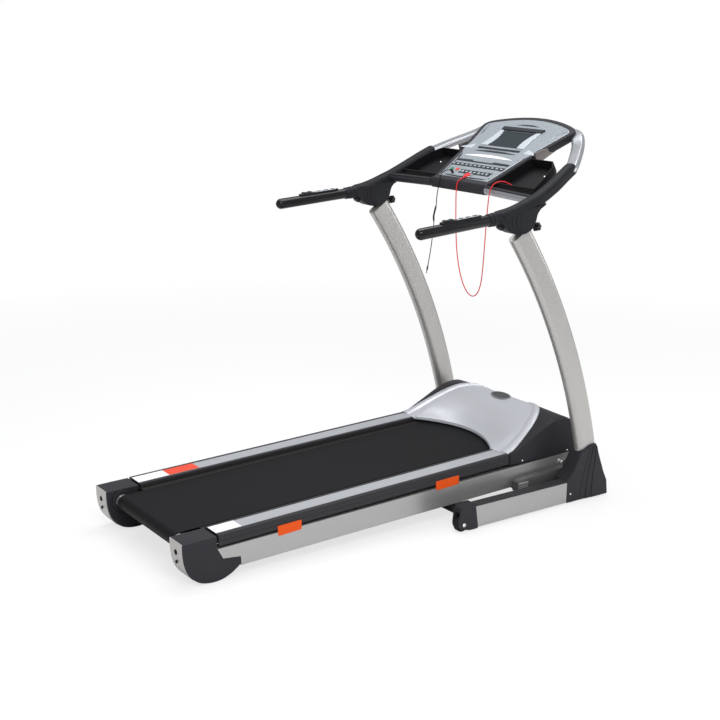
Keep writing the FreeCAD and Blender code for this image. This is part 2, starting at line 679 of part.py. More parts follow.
def free_cords():
    """The safety key's lanyard with its clip, and the audio lead with its plugs."""
    x = HALF_LENGTH
    up, across = SAFETY
    tab_end = console_point(up - 17.8, across, 3.5)
    lanyard = [
        tuple(tab_end), tuple(console_point(up - 27, across + 3, 5.5)),
        (x - 429, across + 9, 1189), (x - 433, across + 10, 1152), (x - 433, across + 8, 1096),
        (x - 433.5, across + 5, 1037), (x - 433, across + 1, 979), (x - 433.5, across - 7, 922),
        (x - 433, across - 21, 867), (x - 433.5, across - 42, 819), (x - 434, across - 70, 784),
        (x - 436, across - 104, 770), (x - 438, across - 136, 783), (x - 440, across - 158, 822),
        (x - 442, across - 168, 876), (x - 443, across - 173, 934), (x - 444.5, across - 178, 992),
        (x - 445, across - 182, 1050), (x - 446, across - 187, 1106), (x - 445, across - 191, 1155),
        (x - 443, across - 195, 1182), (x - 433, across - 200, 1201), (x - 417, across - 208, 1211),
        (x - 399, across - 218, 1211), tuple(console_point(38, across - 229, -9)),
        tuple(console_point(45, across - 239, -24)), tuple(console_point(49, across - 251, -35)),
        tuple(console_point(52, across - 266, -37.4)),
    ]
    cord_tube("safety_cord", lanyard, size("cord_diameter"))
    clip = Part.makeBox(34, 12, 7)
    clip = clip.makeFillet(2, clip.Edges)
    clip.translate(V(0.2, -6, -3.5))
    heading = FreeCAD.Rotation(X_AXIS, V(3, -15, 0))
    clip.Placement = CONSOLE.multiply(FreeCAD.Placement(V(52, across - 266, -37.4), heading)
                                      ).multiply(clip.Placement)
    node("cord_clip", shaped("clip", clip))

    plug_up, plug_across = JACK
    plug = rod("plug_barrel", CONSOLE, (plug_up, plug_across, 0), 4.5, 16, Z_AXIS)
    exit_run = V(-4, 11, 2).normalize()
    elbow_start = V(plug_up, plug_across + 12, 11) - exit_run * 12
    side_exit = rod("plug_elbow", CONSOLE, elbow_start, 3.5, 12, exit_run)
    lead = [
        tuple(console_point(plug_up, plug_across + 12, 11)),
        tuple(console_point(plug_up - 4, plug_across + 23, 13)),
        tuple(console_point(plug_up - 17, plug_across + 30, 13.5)),
        tuple(console_point(plug_up - 33, plug_across + 29, 12.5)),
        (x - 426, plug_across + 25, 1193), (x - 432, plug_across + 22, 1172),
        (x - 434, plug_across + 26, 1145), (x - 434.5, plug_across + 31, 1118),
        (x - 435, plug_across + 31, 1090),
    ]
    lower_lead = [
        (x - 434, plug_across + 44, 1020), (x - 433, plug_across + 50, 992),
        (x - 432.5, plug_across + 55, 950), (x - 432, plug_across + 66, 892),
        (x - 433, plug_across + 76, 848),
    ]
    thick = [lead[-1], (x - 435.5, plug_across + 39, 1066), (x - 435, plug_across + 47, 1043),
             lower_lead[0]]
    route = lead + thick[1:-1] + lower_lead
    cord_tube("audio_cable", route, size("cable_diameter"))
    end, before = V(*route[-1]), V(*route[-2])
    tip = Part.makeCylinder(3.5, 20, end, end - before)
    pin = Part.makeCylinder(1.75, 14, end + (end - before).normalize() * 20, end - before)
    node("cable_plugs", group("plugs", fuse("plug_body", plug, side_exit),
                              shaped("tip_plug", tip.fuse(pin))))


# ---------------------------------------------------------------- lift frame and fold hinge

lift_inner = deck_half + 14
lift_outer = lift_inner + size("lift_arm_width")


def lift_frame():
    """Two arms on the base pivots, joined under the deck, that raise the deck's front."""
    arms, holes = [], []
    for name, side in sides():
        arms.append(outline(f"lift_arm_{name}", FRONT, "XZ", [
            (-401, 66), (-401, 102), (-392, 108), (-100, 122), (-86, 112), (-88, 82), (-300, 56),
            (-385, 56)], "lift_arm_width", far_edge(side, lift_inner, lift_outer)))
        low = near_edge(side, lift_inner, lift_outer) - 1
        holes.append(rod(f"pivot_hole_{name}", FRONT,
                         (-size("pivot_back"), low, size("pivot_height")),
                         "pivot_radius + running_gap", "lift_arm_width + 2"))
        holes.append(rod(f"lift_hole_{name}", FRONT,
                         (-size("lift_pin_back"), low, size("lift_pin_height")),
                         "pin_radius + running_gap", "lift_arm_width + 2"))
    cross = box("lift_cross", FRONT, (-330, -lift_outer, 34), 30, 2 * lift_outer, 30)
    return node("lift_frame", cut("lift_cut", fuse("lift_welded", cross, *arms), *holes))


def hinge_brackets():
    """Plates beside the deck. One pin carries the deck's fold, the other sits in the lift arm."""
    brackets = []
    for name, side in sides():
        plate_low, plate_high = deck_half + 2, deck_half + 12
        fold = (-size("fold_back"), size("fold_height"))
        lift = (-size("lift_pin_back"), size("lift_pin_height"))
        pieces = []
        for label, (x, z) in (("fold", fold), ("lift", lift)):
            pieces.append(rod(f"boss_{label}_{name}", FRONT,
                              (x, near_edge(side, plate_low, plate_high), z), 18, 10))
        pieces.append(rod(f"fold_pin_{name}", FRONT,
                          (fold[0], near_edge(side, deck_half - size("tube_width") + 0.5, plate_low),
                           fold[1]), "pin_radius", "tube_width + 1.5"))
        pieces.append(rod(f"lift_pin_{name}", FRONT,
                          (lift[0], near_edge(side, plate_high, lift_outer), lift[1]),
                          "pin_radius", "lift_arm_width + 2"))
        brackets.append(fuse(f"bracket_pins_{name}", *pieces))
    return node("hinge_brackets", group("brackets", *brackets))


def incline_actuator():
    """The geared motor on the front cross tube, with its screw reaching for the lift frame."""
    motor = rod("incline_motor", FRONT, (-170, 0, 34), 24, 90, X_AXIS)
    screw = rod("incline_screw", FRONT, (-281, 0, 34), 7, 111, X_AXIS)
    return node("incline_actuator", fuse("actuator", motor, screw))


# ---------------------------------------------------------------- deck

front_roller_along = size("overall_length") - size("front_roller_back")
belt_inside = -size("belt_drop") - size("belt_thickness")
roller_drop = belt_inside - size("belt_gap") - size("roller_radius")
board_under = belt_inside - size("board_thickness")
tube_inner = deck_half - size("tube_width")
rail_inner = deck_half - size("rail_width")
ROLLER = "(deck_width - 2*rail_width - 2*roller_margin)"
roller_half = rail_inner - size("roller_margin")
belt_half = roller_half - size("belt_margin")
board_half = deck_half - size("board_margin")


def tube_top(station):
    """The height of a side tube's top at a distance from the rear."""
    rise = size("tube_front_top") - size("tube_rear_top")
    return size("tube_rear_top") + rise * (station - 127.3) / (size("overall_length") - 213.3)


def side_tube(side, name):
    solid = outline(f"tube_solid_{name}", REAR, "XZ", [
        (127.3, "tube_rear_top"), (147.3, 77), (212.3, 70),
        (214.5, "tube_rear_top - tube_height + 2.5"),
        ("overall_length - 138", "tube_front_top - tube_height - 1.5"),
        ("overall_length - 86", "tube_front_top")],
        "tube_width", far_edge(side, tube_inner, deck_half))
    bore = outline(f"tube_bore_{name}", REAR, "XZ", [
        (100, "tube_rear_top - tube_wall - 0.7"), (100, "tube_rear_top - tube_height + tube_wall"),
        ("overall_length - 100", "tube_front_top - tube_height + tube_wall"),
        ("overall_length - 60", "tube_front_top - tube_wall + 1")],
        "tube_width - 2*tube_wall", far_edge(side, tube_inner, deck_half) - size("tube_wall"))
    hole = rod(f"fold_hole_{name}", FRONT,
               (-size("fold_back"), near_edge(side, tube_inner, deck_half) - 1,
                size("fold_height")), "pin_radius + running_gap", "tube_width + 2")
    return node(f"side_tube_{name}", cut(f"tube_cut_{name}", solid, bore, hole))


def deck_cross_members():
    """Cross tubes between the side tubes, the roller brackets and the motor tray."""
    pieces = []
    low = (roller_drop - size("roller_radius") - size("belt_thickness") - size("belt_gap")
           - size("return_gap") - size("cross_height"))
    for index, along in enumerate((330, 800, 1270)):
        pieces.append(box(f"cross_{index}", DECK, (along, -tube_inner, low), 50, 2 * tube_inner,
                          "cross_height"))
    low = (roller_drop - size("roller_pulley_radius") - size("drive_belt_thickness")
           - size("belt_gap") - 2 - size("cross_height"))
    cross = box("roller_cross", DECK, (front_roller_along - 30, -tube_inner, low), 60,
                2 * tube_inner, "cross_height")
    plates, holes = [], []
    for name, side in sides():
        start = near_edge(side, roller_half + 32, roller_half + 38)
        plates.append(box(f"roller_plate_{name}", DECK, (front_roller_along - 22, start, low),
                          44, 6, roller_drop + 24 - low))
        holes.append(rod(f"roller_hole_{name}", DECK, (front_roller_along, start - 1, roller_drop),
                         "stub_radius + running_gap", 8))
    pieces.append(cut("roller_support", fuse("roller_frame", cross, *plates), *holes))
    tray_top = size("motor_height") - size("motor_radius") - 2
    pieces.append(box("motor_tray", FRONT, (-235, -tube_inner, tray_top - 4), 150, 2 * tube_inner, 4))
    return node("deck_cross_members", group("members", *pieces))


def deck_cushions():
    """Rubber blocks between the side tubes and the deck board."""
    blocks = []
    slope = math.radians(size("deck_slope"))
    for name, side in sides():
        for index, along in enumerate((300, 680, 1060, 1340)):
            station = along * math.cos(slope)
            plane = size("deck_rear_height") + along * math.sin(slope)
            bottom = (tube_top(station) - plane) * math.cos(slope) + 0.1
            blocks.append(rod(f"cushion_{name}_{index}", DECK,
                              (along, side * (tube_inner + 13), bottom), "cushion_radius",
                              board_under - bottom, Z_AXIS))
    return node("deck_cushions", group("cushions", *blocks))


def deck_board():
    return node("deck_board", box("board", DECK, (130, -board_half, board_under),
                                  front_roller_along - 180, "deck_width - 2*board_margin",
                                  "board_thickness"))


def foot_rail(side, name):
    """The side rail: a ribbed tread plate with two feet on the board and an outer skirt."""
    profile = [(rail_inner, 0), (deck_half, 0), (deck_half, -size("skirt_depth")),
               (deck_half - size("skirt_wall"), -size("skirt_depth")),
               (deck_half - size("skirt_wall"), -size("rail_plate")),
               (rail_inner + 50, -size("rail_plate")), (rail_inner + 50, belt_inside),
               (rail_inner + 44, belt_inside), (rail_inner + 44, -size("rail_plate")),
               (rail_inner + 6, -size("rail_plate")), (rail_inner + 6, belt_inside),
               (rail_inner, belt_inside)]
    run = size("overall_length") - size("hood_reach") + 12 - 132
    return node(f"foot_rail_{name}", outline(
        f"rail_{name}", DECK, "YZ", [(side * y, z) for y, z in profile], run, 132))


def end_cap(side, name):
    """The moulded rear corner: it closes the rail and tube and holds the roller's stub."""
    top = size("deck_rear_height")
    rise = math.tan(math.radians(size("deck_slope")))
    block = outline(f"cap_block_{name}", REAR, "XZ", [
        (0, top), (2, 110), (8, 80), (20, 48), (42, 18), (67, 0), (150, 0),
        (214.5, "tube_rear_top - tube_height + 2.5"), (212.3, 70), (147.3, 77),
        (127.3, "tube_rear_top"), (127.3, top + 127.3 * rise)],
        "rail_width", far_edge(side, rail_inner, deck_half))
    hollow = outline(f"cap_hollow_{name}", REAR, "XZ", [
        (8, top - 8), (10, 110), (16, 82), (28, 52), (48, 24), (68, -5), (144, -5), (150, 60),
        (132, 74), (118, 110), (118, top - 6)],
        "rail_width - 12", far_edge(side, rail_inner, deck_half) - 6)
    hole = rod(f"cap_hole_{name}", DECK,
               (size("rear_roller_in"), near_edge(side, rail_inner, rail_inner + 6) - 1,
                roller_drop), "stub_radius + running_gap", 8)
    return node(f"end_cap_{name}", cut(f"cap_cut_{name}", block, hollow, hole))


def roller(name, along, extra=()):
    tube = rod(name + "_tube", DECK, (along, -roller_half, roller_drop), "roller_radius", ROLLER)
    stub = rod(name + "_stub", DECK, (along, -roller_half - 40, roller_drop), "stub_radius",
               ROLLER + " + 80")
    return node(name, fuse(name + "_all", tube, stub, *extra))


def pulley_side():
    """The lower Y of both pulleys: just outside the front roller's right end."""
    return -roller_half - 28


def motor_centre():
    """The motor shaft's place along the deck and above its plane."""
    point = DECK.inverse().multVec(
        V(HALF_LENGTH - size("motor_back"), 0, size("motor_height")))
    return point.x, point.z


def belt_loop(first, first_radius, second, second_radius, low, width):
    """The solid outline round two wheels of a belt's side, as wide as the belt."""
    a, b = V(first[0], 0, first[1]), V(second[0], 0, second[1])
    along = (b - a).normalize()
    across = V(-along.z, 0, along.x)
    lean = (first_radius - second_radius) / (b - a).Length
    flat = math.sqrt(1 - lean * lean)

    def touch(centre, radius, side):
        return centre + (along * lean + across * flat * side) * radius

    upper = (touch(a, first_radius, 1), touch(b, second_radius, 1))
    lower = (touch(b, second_radius, -1), touch(a, first_radius, -1))
    edges = [
        Part.LineSegment(*upper).toShape(),
        Part.Arc(upper[1], b + along * second_radius, lower[0]).toShape(),
        Part.LineSegment(*lower).toShape(),
        Part.Arc(lower[1], a - along * first_radius, upper[0]).toShape(),
    ]
    solid = Part.Face(Part.Wire(edges)).extrude(V(0, width, 0))
    solid.translate(V(0, low, 0))
    return solid


def wrapped_belt(name, first, first_radius, second, second_radius, low, width, thickness):
    outer = belt_loop(first, first_radius + thickness, second, second_radius + thickness, low, width)
    inner = belt_loop(first, first_radius, second, second_radius, low - 1, width + 2)
    item = shaped(name + "_loop", outer.cut(inner))
    item.Placement = DECK
    return node(name, item)


def belts_and_rollers():
    gap = size("belt_gap")
    rear = (size("rear_roller_in"), roller_drop)
    front = (front_roller_along, roller_drop)
    pulley = rod("roller_pulley", DECK, (front[0], pulley_side(), roller_drop),
                 "roller_pulley_radius", "pulley_width")
    roller("rear_roller", rear[0])
    roller("front_roller", front[0], [pulley])
    radius = size("roller_radius") + gap
    wrapped_belt("running_belt", rear, radius, front, radius, -belt_half, 2 * belt_half,
                 size("belt_thickness"))
    wrapped_belt("drive_belt", front, size("roller_pulley_radius") + gap, motor_centre(),
                 size("motor_pulley_radius") + gap, pulley_side() + 1, size("pulley_width") - 2,
                 size("drive_belt_thickness"))


def drive_motor():
    """The motor's can on two feet, bored through for its shaft."""
    along, high = motor_centre()
    start = pulley_side() + size("pulley_width") + 8
    can = rod("motor_can", DECK, (along, start, high), "motor_radius", "motor_length")
    feet = box("motor_feet", FRONT, (-size("motor_back") - 30, start + 20,
                                     size("motor_height") - size("motor_radius") - 2),
               60, "motor_length - 40", 12)
    bore = rod("motor_bore", DECK, (along, start - 1, high), "shaft_radius + running_gap",
               "motor_length + 2")
    return node("drive_motor", cut("motor_cut", fuse("motor_body", can, feet), bore))


def motor_rotor():
    """The shaft through the motor, with the drive pulley on one end and a flywheel on the other."""
    along, high = motor_centre()
    start = pulley_side()
    reach = size("pulley_width") + 8 + size("motor_length")
    shaft = rod("motor_shaft", DECK, (along, start, high), "shaft_radius", reach + 16)
    pulley = rod("motor_pulley", DECK, (along, start, high), "motor_pulley_radius", "pulley_width")
    wheel = rod("flywheel", DECK, (along, start + reach + 3, high), "motor_radius - 3", 13)
    return node("motor_rotor", fuse("rotor_all", shaft, pulley, wheel))


def motor_controller():
    tray_top = size("motor_height") - size("motor_radius") - 2
    return node("motor_controller", box("controller", FRONT, (-225, 60, tray_top), 110, 140, 46))


def hood_cutter():
    """The hollow sweep of the hood's rear edge, open over the running belt."""
    radius = (rail_inner ** 2 + size("hood_scoop") ** 2) / (2 * size("hood_scoop"))
    middle = -size("hood_reach") + size("hood_scoop") - radius
    return rod("hood_scoop_cutter", FRONT, (middle, 0, 100), radius, 300, Z_AXIS)


def hood_parts():
    """The black skirt shell round the motor bay, and the silver dome on top of it."""
    top = [(-407, 207), (-355, 216), (-300, 240), (-245, 268), (-193, 288), (-150, 296),
           (-120, 295), (-90, 287), (-70, 274), (-56, 236), (-46, 178), (-50, 159)]
    block = outline("skirt_block", FRONT, "XZ", [(-407, 150)] + top, "deck_width", deck_half)
    hollow = outline("skirt_hollow", FRONT, "XZ", [
        (-430, 140), (-430, 199), (-354, 211), (-299, 235), (-244, 263), (-192, 283),
        (-150, 291), (-121, 290), (-93, 283), (-75, 271), (-61, 235), (-52, 178), (-56, 140)],
        "deck_width - 8", deck_half - 4)
    cutter = hood_cutter()
    doc.recompute()
    node("hood_skirt", cut("skirt_cut", block, hollow, cutter))
    stations = [(-406.8, 36, 190, 208), (-370, 38, 212, 234), (-300, 46, 240, 286),
                (-235, 66, 262, 318), (-175, 100, 276, 330), (-125, 154, 280, 322),
                (-92, 212, 278, 306)]
    lofts = []
    for wall in (0, size("dome_wall")):
        wires = []
        for along, inset, edge, crown in stations:
            half, edge, crown = deck_half - inset - wall, edge - wall, crown - wall
            points = [V(along, -half, 150), V(along, -half, edge),
                      V(along, -half * 0.72, edge + (crown - edge) * 0.62),
                      V(along, 0, crown), V(along, half * 0.72, edge + (crown - edge) * 0.62),
                      V(along, half, edge), V(along, half, 150)]
            wires.append(Part.makePolygon(points + points[:1]))
        lofts.append(Part.makeLoft(wires, True, True))
    for loft in lofts:
        if loft.Volume < 0:
            loft.reverse()
        loft.translate(V(HALF_LENGTH, 0, 0))
    dome = lofts[0].cut(lofts[1]).cut(block.Shape).cut(cutter.Shape)
    node("motor_hood", shaped("dome", max(dome.Solids, key=lambda solid: solid.Volume)))


# ---------------------------------------------------------------- build

SCREEN_LOW = 237
SCREEN_HALF = 85
STRIP_UP = 100
STRIP_HALF = 148
START = (66, 112)
STOP = (66, 80)
SAFETY = (36, -10)
JACK = (42, 82)
KEY_NAMES = ("speed_down", "speed_up", "incline_down", "incline_up")

for side_name, side_sign in sides():
    base_rail(side_sign, side_name)
    upright(side_sign, side_name)
    doc.recompute()
    boot(side_sign, side_name)
    handle_hub(side_sign, side_name)
    clamp_knob(side_sign, side_name)
    transport_wheel(side_sign, side_name)
    doc.recompute()
    grip(side_sign, side_name)
    rocker(side_sign, side_name)
    side_tube(side_sign, side_name)
    foot_rail(side_sign, side_name)
    end_cap(side_sign, side_name)
node("wheel_brackets", group("wheel_bracket_pair",
                             *(wheel_bracket(sign, name) for name, sign in sides())))
base_cross_tubes()
base_feet()
console_shell()
console_face()
console_controls()
display()
side_trays()
safety_key()
handlebar()
crossbars()
free_cords()
lift_frame()
hinge_brackets()
incline_actuator()
deck_cross_members()
deck_cushions()
deck_board()
belts_and_rollers()
drive_motor()
motor_rotor()
motor_controller()
hood_parts()

doc.recompute()
faults = [item.Name for item in doc.Objects if {"Invalid", "Error"} & set(item.State)]
for name, item in nodes.items():
    if item.Shape.isNull() or not item.Shape.isValid() or not item.Shape.Solids:
        faults.append(name)
if faults:
    raise RuntimeError("unsound objects: " + ", ".join(faults))
os.makedirs("parts", exist_ok=True)
for name, item in nodes.items():
    item.Shape.exportStep(f"parts/{name}.step")
print(len(nodes), "sub-parts")
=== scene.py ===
import math

import bmesh
import bpy
from mathutils import Matrix, Vector


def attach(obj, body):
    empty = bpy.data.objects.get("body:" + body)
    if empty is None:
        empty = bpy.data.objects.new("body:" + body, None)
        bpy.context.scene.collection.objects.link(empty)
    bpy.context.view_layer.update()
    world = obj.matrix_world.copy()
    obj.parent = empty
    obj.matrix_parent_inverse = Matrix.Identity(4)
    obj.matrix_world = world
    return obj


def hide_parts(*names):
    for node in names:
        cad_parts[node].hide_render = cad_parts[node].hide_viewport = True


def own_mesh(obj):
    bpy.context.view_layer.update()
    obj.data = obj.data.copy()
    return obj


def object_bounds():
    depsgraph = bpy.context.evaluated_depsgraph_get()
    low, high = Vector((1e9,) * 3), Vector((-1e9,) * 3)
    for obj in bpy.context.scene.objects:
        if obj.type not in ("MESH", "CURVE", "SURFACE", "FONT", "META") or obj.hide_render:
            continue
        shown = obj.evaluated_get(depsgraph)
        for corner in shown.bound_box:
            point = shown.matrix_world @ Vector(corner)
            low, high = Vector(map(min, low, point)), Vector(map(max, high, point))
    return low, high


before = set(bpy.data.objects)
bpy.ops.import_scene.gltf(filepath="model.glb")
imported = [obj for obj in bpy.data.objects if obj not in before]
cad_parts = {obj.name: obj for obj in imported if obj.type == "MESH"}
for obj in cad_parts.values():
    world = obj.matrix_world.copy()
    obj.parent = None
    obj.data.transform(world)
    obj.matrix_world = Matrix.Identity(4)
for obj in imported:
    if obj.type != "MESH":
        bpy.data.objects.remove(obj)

# A folding motorised treadmill. Shapes are written in millimetres in one of four frames,
# and each frame's matrix turns them into the model's metres.

CAD_LOW, CAD_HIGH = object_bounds()
MM = 0.001
HALF_LENGTH = CAD_HIGH.x / MM
DECK_HALF = 332
BASE_HALF = 450
RAIL_WIDTH = 92
RAIL_INNER = DECK_HALF - RAIL_WIDTH
DECK_SLOPE = 1.95
DECK_REAR_HEIGHT = 157
CONSOLE_TILT = 29.25
CONSOLE_BACK = 420
CONSOLE_HEIGHT = 1192
HUB_MIDDLE = BASE_HALF - 22
UPRIGHT_TOP = 1055
SIDES = (("left", 1), ("right", -1))


def local(x, z, slope=0.0):
    """A millimetre frame at x and z, its X axis raised by slope degrees."""
    turn = Matrix.Rotation(-math.radians(slope), 4, "Y")
    return Matrix.Translation((x * MM, 0, z * MM)) @ turn @ Matrix.Scale(MM, 4)


PLAIN = local(0, 0)
REAR = local(-HALF_LENGTH, 0)
FRONT = local(HALF_LENGTH, 0)
DECK = local(-HALF_LENGTH, DECK_REAR_HEIGHT, DECK_SLOPE)
CONSOLE = local(HALF_LENGTH - CONSOLE_BACK, CONSOLE_HEIGHT, CONSOLE_TILT)
PANEL_NORMAL = (CONSOLE.to_3x3() @ Vector((0, 0, 1))).normalized()


# ---------------------------------------------------------------- materials

class Wire:
    """A shader socket. Arithmetic on it adds Math nodes."""

    def __init__(self, tree, socket):
        self.tree = tree
        self.socket = socket

    def math(self, operation, first, second=0.0):
        made = self.tree.nodes.new("ShaderNodeMath")
        made.operation = operation
        for place, value in enumerate((first, second)):
            if isinstance(value, Wire):
                self.tree.links.new(value.socket, made.inputs[place])
            else:
                made.inputs[place].default_value = value
        return Wire(self.tree, made.outputs[0])

    def __add__(self, other):
        return self.math("ADD", self, other)

    def __sub__(self, other):
        return self.math("SUBTRACT", self, other)

    def __rsub__(self, other):
        return self.math("SUBTRACT", other, self)

    def __mul__(self, other):
        return self.math("MULTIPLY", self, other)

    __radd__ = __add__
    __rmul__ = __mul__


class Finish:
    """A material built node by node on Object coordinates."""

    def __init__(self, name, colour, roughness=0.5, **constants):
        self.material = bpy.data.materials.new(name)
        self.material.use_nodes = True
        self.tree = self.material.node_tree
        self.shader = self.tree.nodes["Principled BSDF"]
        self.colour = colour
        self.roughness = roughness
        self.shader.inputs["Base Color"].default_value = (*colour, 1)
        self.shader.inputs["Roughness"].default_value = roughness
        for key, value in constants.items():
            label = key.replace("_", " ").title().replace("Ior", "IOR")
            self.shader.inputs[label].default_value = value
        self.spot = self.node("TexCoord", output="Object")

    def node(self, kind, settings=(), output=0, **sockets):
        made = self.tree.nodes.new("ShaderNode" + kind)
        for key, value in dict(settings).items():
            if key == "stops":
                for place, (at, shade) in enumerate(value):
                    stop = made.color_ramp.elements[place]
                    stop.position, stop.color = at, (shade, shade, shade, 1)
            else:
                setattr(made, key, value)
        for key, value in sockets.items():
            place = made.inputs[int(key[1:]) if key[0] == "_" else key]
            if isinstance(value, Wire):
                self.tree.links.new(value.socket, place)
            else:
                place.default_value = value
        return Wire(self.tree, made.outputs[output])

    def grain(self, scale, detail=3, stretch=(1, 1, 1)):
        """Noise between 0 and 1 whose features are 1 / scale metres across."""
        where = self.node("Mapping", Vector=self.spot, Scale=stretch)
        return self.node("TexNoise", Vector=where, Scale=scale, Detail=detail, Roughness=0.55)

    def tint(self, mask, other):
        """Carries the base colour towards another one where the mask is 1."""
        here = self.shader.inputs["Base Color"]
        first = Wire(self.tree, here.links[0].from_socket) if here.links else (*self.colour, 1)
        mixed = self.node("Mix", {"data_type": "RGBA"}, 2, Factor=mask, _6=first, _7=(*other, 1))
        self.tree.links.new(mixed.socket, here)
        return self

    def rough(self, mask, amount):
        """Adds or takes roughness where the mask leaves its middle value."""
        value = (mask - 0.5) * amount + self.roughness
        self.tree.links.new(value.socket, self.shader.inputs["Roughness"])
        return self

    def bump(self, height, depth, strength=1.0):
        """A relief of so many millimetres."""
        made = self.node("Bump", Strength=strength, Distance=depth * MM, Height=height)
        self.tree.links.new(made.socket, self.shader.inputs["Normal"])
        return self

    def done(self):
        return self.material


def darker(colour, share):
    return tuple(part * share for part in colour)


def painted_metal(name, colour, metallic=0.7, roughness=0.36, brushed=(1, 1, 0.05)):
    """Metallic paint: a fine flake, faint drawn streaks and soft clouding."""
    finish = Finish(name, colour, roughness, metallic=metallic, coat_weight=0.15,
                    coat_roughness=0.3)
    flake = finish.grain(2600, 1)
    streak = finish.grain(420, 2, brushed)
    cloud = finish.grain(9, 2)
    finish.tint(cloud * 0.35 + streak * 0.2, darker(colour, 0.86))
    finish.rough(streak, 0.16)
    return finish.bump(flake * 0.4 + streak * 0.6, 0.02, 0.08).done()


def moulded(name, colour, roughness=0.48, scale=1500, depth=0.05, **constants):
    """Moulded plastic: spark-eroded stipple, slight clouding and handled patches."""
    finish = Finish(name, colour, roughness, **{"specular_ior_level": 0.13, **constants})
    stipple = finish.grain(scale, 2)
    cloud = finish.grain(14, 3)
    lift = tuple(min(1, part * 1.35 + 0.004) for part in colour)
    finish.tint(cloud * 0.5, lift)
    finish.rough(cloud, 0.14)
    return finish.bump(stipple, depth).done()


def rubbery(name, colour, roughness=0.75, scale=900):
    """Rubber and foam: an open, fine-pored skin."""
    finish = Finish(name, colour, roughness, specular_ior_level=0.14)
    pores = finish.node("TexVoronoi", Vector=finish.spot, Scale=scale)
    cloud = finish.grain(30, 3)
    finish.tint(cloud * 0.45, tuple(part * 1.5 + 0.002 for part in colour))
    finish.rough(cloud, 0.12)
    return finish.bump(pores * 0.6 + cloud * 0.4, 0.06).done()


def belt_surface():
    """The tread belt: a fine woven grain with faint clouding in tone and roughness."""
    finish = Finish("tread_belt", (0.0055, 0.0055, 0.006), 0.5, specular_ior_level=0.08)
    along = finish.node("TexWave", {"bands_direction": "X"}, 1, Vector=finish.spot, Scale=150,
                        Distortion=1.2, Detail=1)
    over = finish.node("TexWave", {"bands_direction": "Y"}, 1, Vector=finish.spot, Scale=150,
                       Distortion=1.2, Detail=1)
    cloud = finish.grain(6, 4)
    fleck = finish.grain(1100, 2)
    finish.tint(cloud * 0.6 + fleck * 0.2, (0.011, 0.011, 0.012))
    finish.rough(cloud, 0.12)
    return finish.bump(along * 0.4 + over * 0.4 + fleck * 0.5, 0.12).done()


def lit_screen():
    """A dark grey liquid crystal window with faint rows of dots."""
    finish = Finish("screen_window", (0.018, 0.025, 0.029), 0.3, specular_ior_level=0.12)
    dots = finish.node("TexVoronoi", Vector=finish.spot, Scale=420)
    cloud = finish.grain(18, 3)
    finish.tint(cloud * 0.4 + dots * 0.15, (0.026, 0.036, 0.04))
    return finish.bump(dots, 0.01).done()


def laminate():
    """The black slip coat on the belt's board, rubbed along its length."""
    finish = Finish("board_laminate", (0.012, 0.011, 0.011), 0.5, specular_ior_level=0.2)
    rub = finish.grain(60, 5, (0.08, 1, 1))
    finish.tint(rub, (0.024, 0.022, 0.02))
    return finish.bump(rub, 0.05).done()


SILVER = painted_metal("champagne_silver", (0.47, 0.458, 0.437), 0.62)
TUBE_SILVER = painted_metal("tube_silver", (0.40, 0.393, 0.39), 0.6, 0.34, (0.04, 1, 1))
LOOP_SILVER = painted_metal("loop_silver", (0.34, 0.35, 0.37), 0.65, 0.33, (0.1, 0.4, 1))
LINK_STEEL = painted_metal("link_steel", (0.16, 0.16, 0.16), 0.6, 0.42)
BRIGHT_STEEL = painted_metal("bright_steel", (0.72, 0.72, 0.72), 0.9, 0.22)
DARK_STEEL = painted_metal("dark_steel", (0.09, 0.09, 0.095), 0.7, 0.4)
CAP_PLATE = painted_metal("cap_plate", (0.45, 0.43, 0.41), 0.45, 0.42, (1, 0.2, 1))
CHARCOAL = moulded("charcoal_plastic", (0.024, 0.023, 0.027), 0.42)
RAIL_BLACK = moulded("rail_charcoal", (0.028, 0.027, 0.03), 0.4)
HUB_BLACK = moulded("hub_charcoal", (0.0125, 0.013, 0.0155), 0.44)
WELL_BLACK = moulded("tray_black", (0.006, 0.006, 0.007), 0.6)
GRIP_BLACK = moulded("grip_black", (0.004, 0.004, 0.005), 0.24, 1100, 0.02, specular_ior_level=0.3)
FOAM = rubbery("sleeve_foam", (0.010, 0.0105, 0.0125), 0.55, 800)
RUBBER = rubbery("black_rubber", (0.012, 0.012, 0.012), 0.7)
BELT = belt_surface()
INSERT = painted_metal("tread_insert", (0.45, 0.46, 0.48), 0.35, 0.42, (0.05, 1, 1))
DOME_SILVER = painted_metal("dome_silver", (0.63, 0.645, 0.68), 0.42, 0.34, (1, 1, 1))
PANEL = painted_metal("panel_silver", (0.36, 0.395, 0.43), 0.45, 0.26, (1, 1, 1))
CHEEK = painted_metal("cheek_silver", (0.62, 0.67, 0.71), 0.4, 0.25, (1, 1, 1))
PANEL_DARK = moulded("panel_slate", (0.02, 0.024, 0.028), 0.34, 1800, 0.03)
KEY_LIGHT = moulded("key_light", (0.33, 0.36, 0.38), 0.4, 1800, 0.02)
# Near-white paint for a highlight crescent on the silver panel: a painted highlight, not a white part.
PANEL_HIGHLIGHT_WHITE = moulded("painted_highlight_white", (0.8, 0.82, 0.83), 0.32, 1800, 0.01)
SCREEN = lit_screen()
GREEN = moulded("start_green", (0.03, 0.19, 0.11), 0.35)
STOP_RED = moulded("stop_red", (0.55, 0.07, 0.05), 0.35)
KEY_RED = moulded("key_red", (0.60, 0.015, 0.02), 0.3, coat_weight=0.3)
ORANGE = moulded("band_orange", (0.66, 0.075, 0.006), 0.42, 1200, 0.03)
RED_BAND = moulded("band_red", (0.70, 0.07, 0.035), 0.42, 1200, 0.03)
WHITE_BAND = moulded("band_white", (0.83, 0.84, 0.85), 0.42, 1200, 0.03)
BADGE = moulded("badge_grey", (0.07, 0.075, 0.075), 0.4)
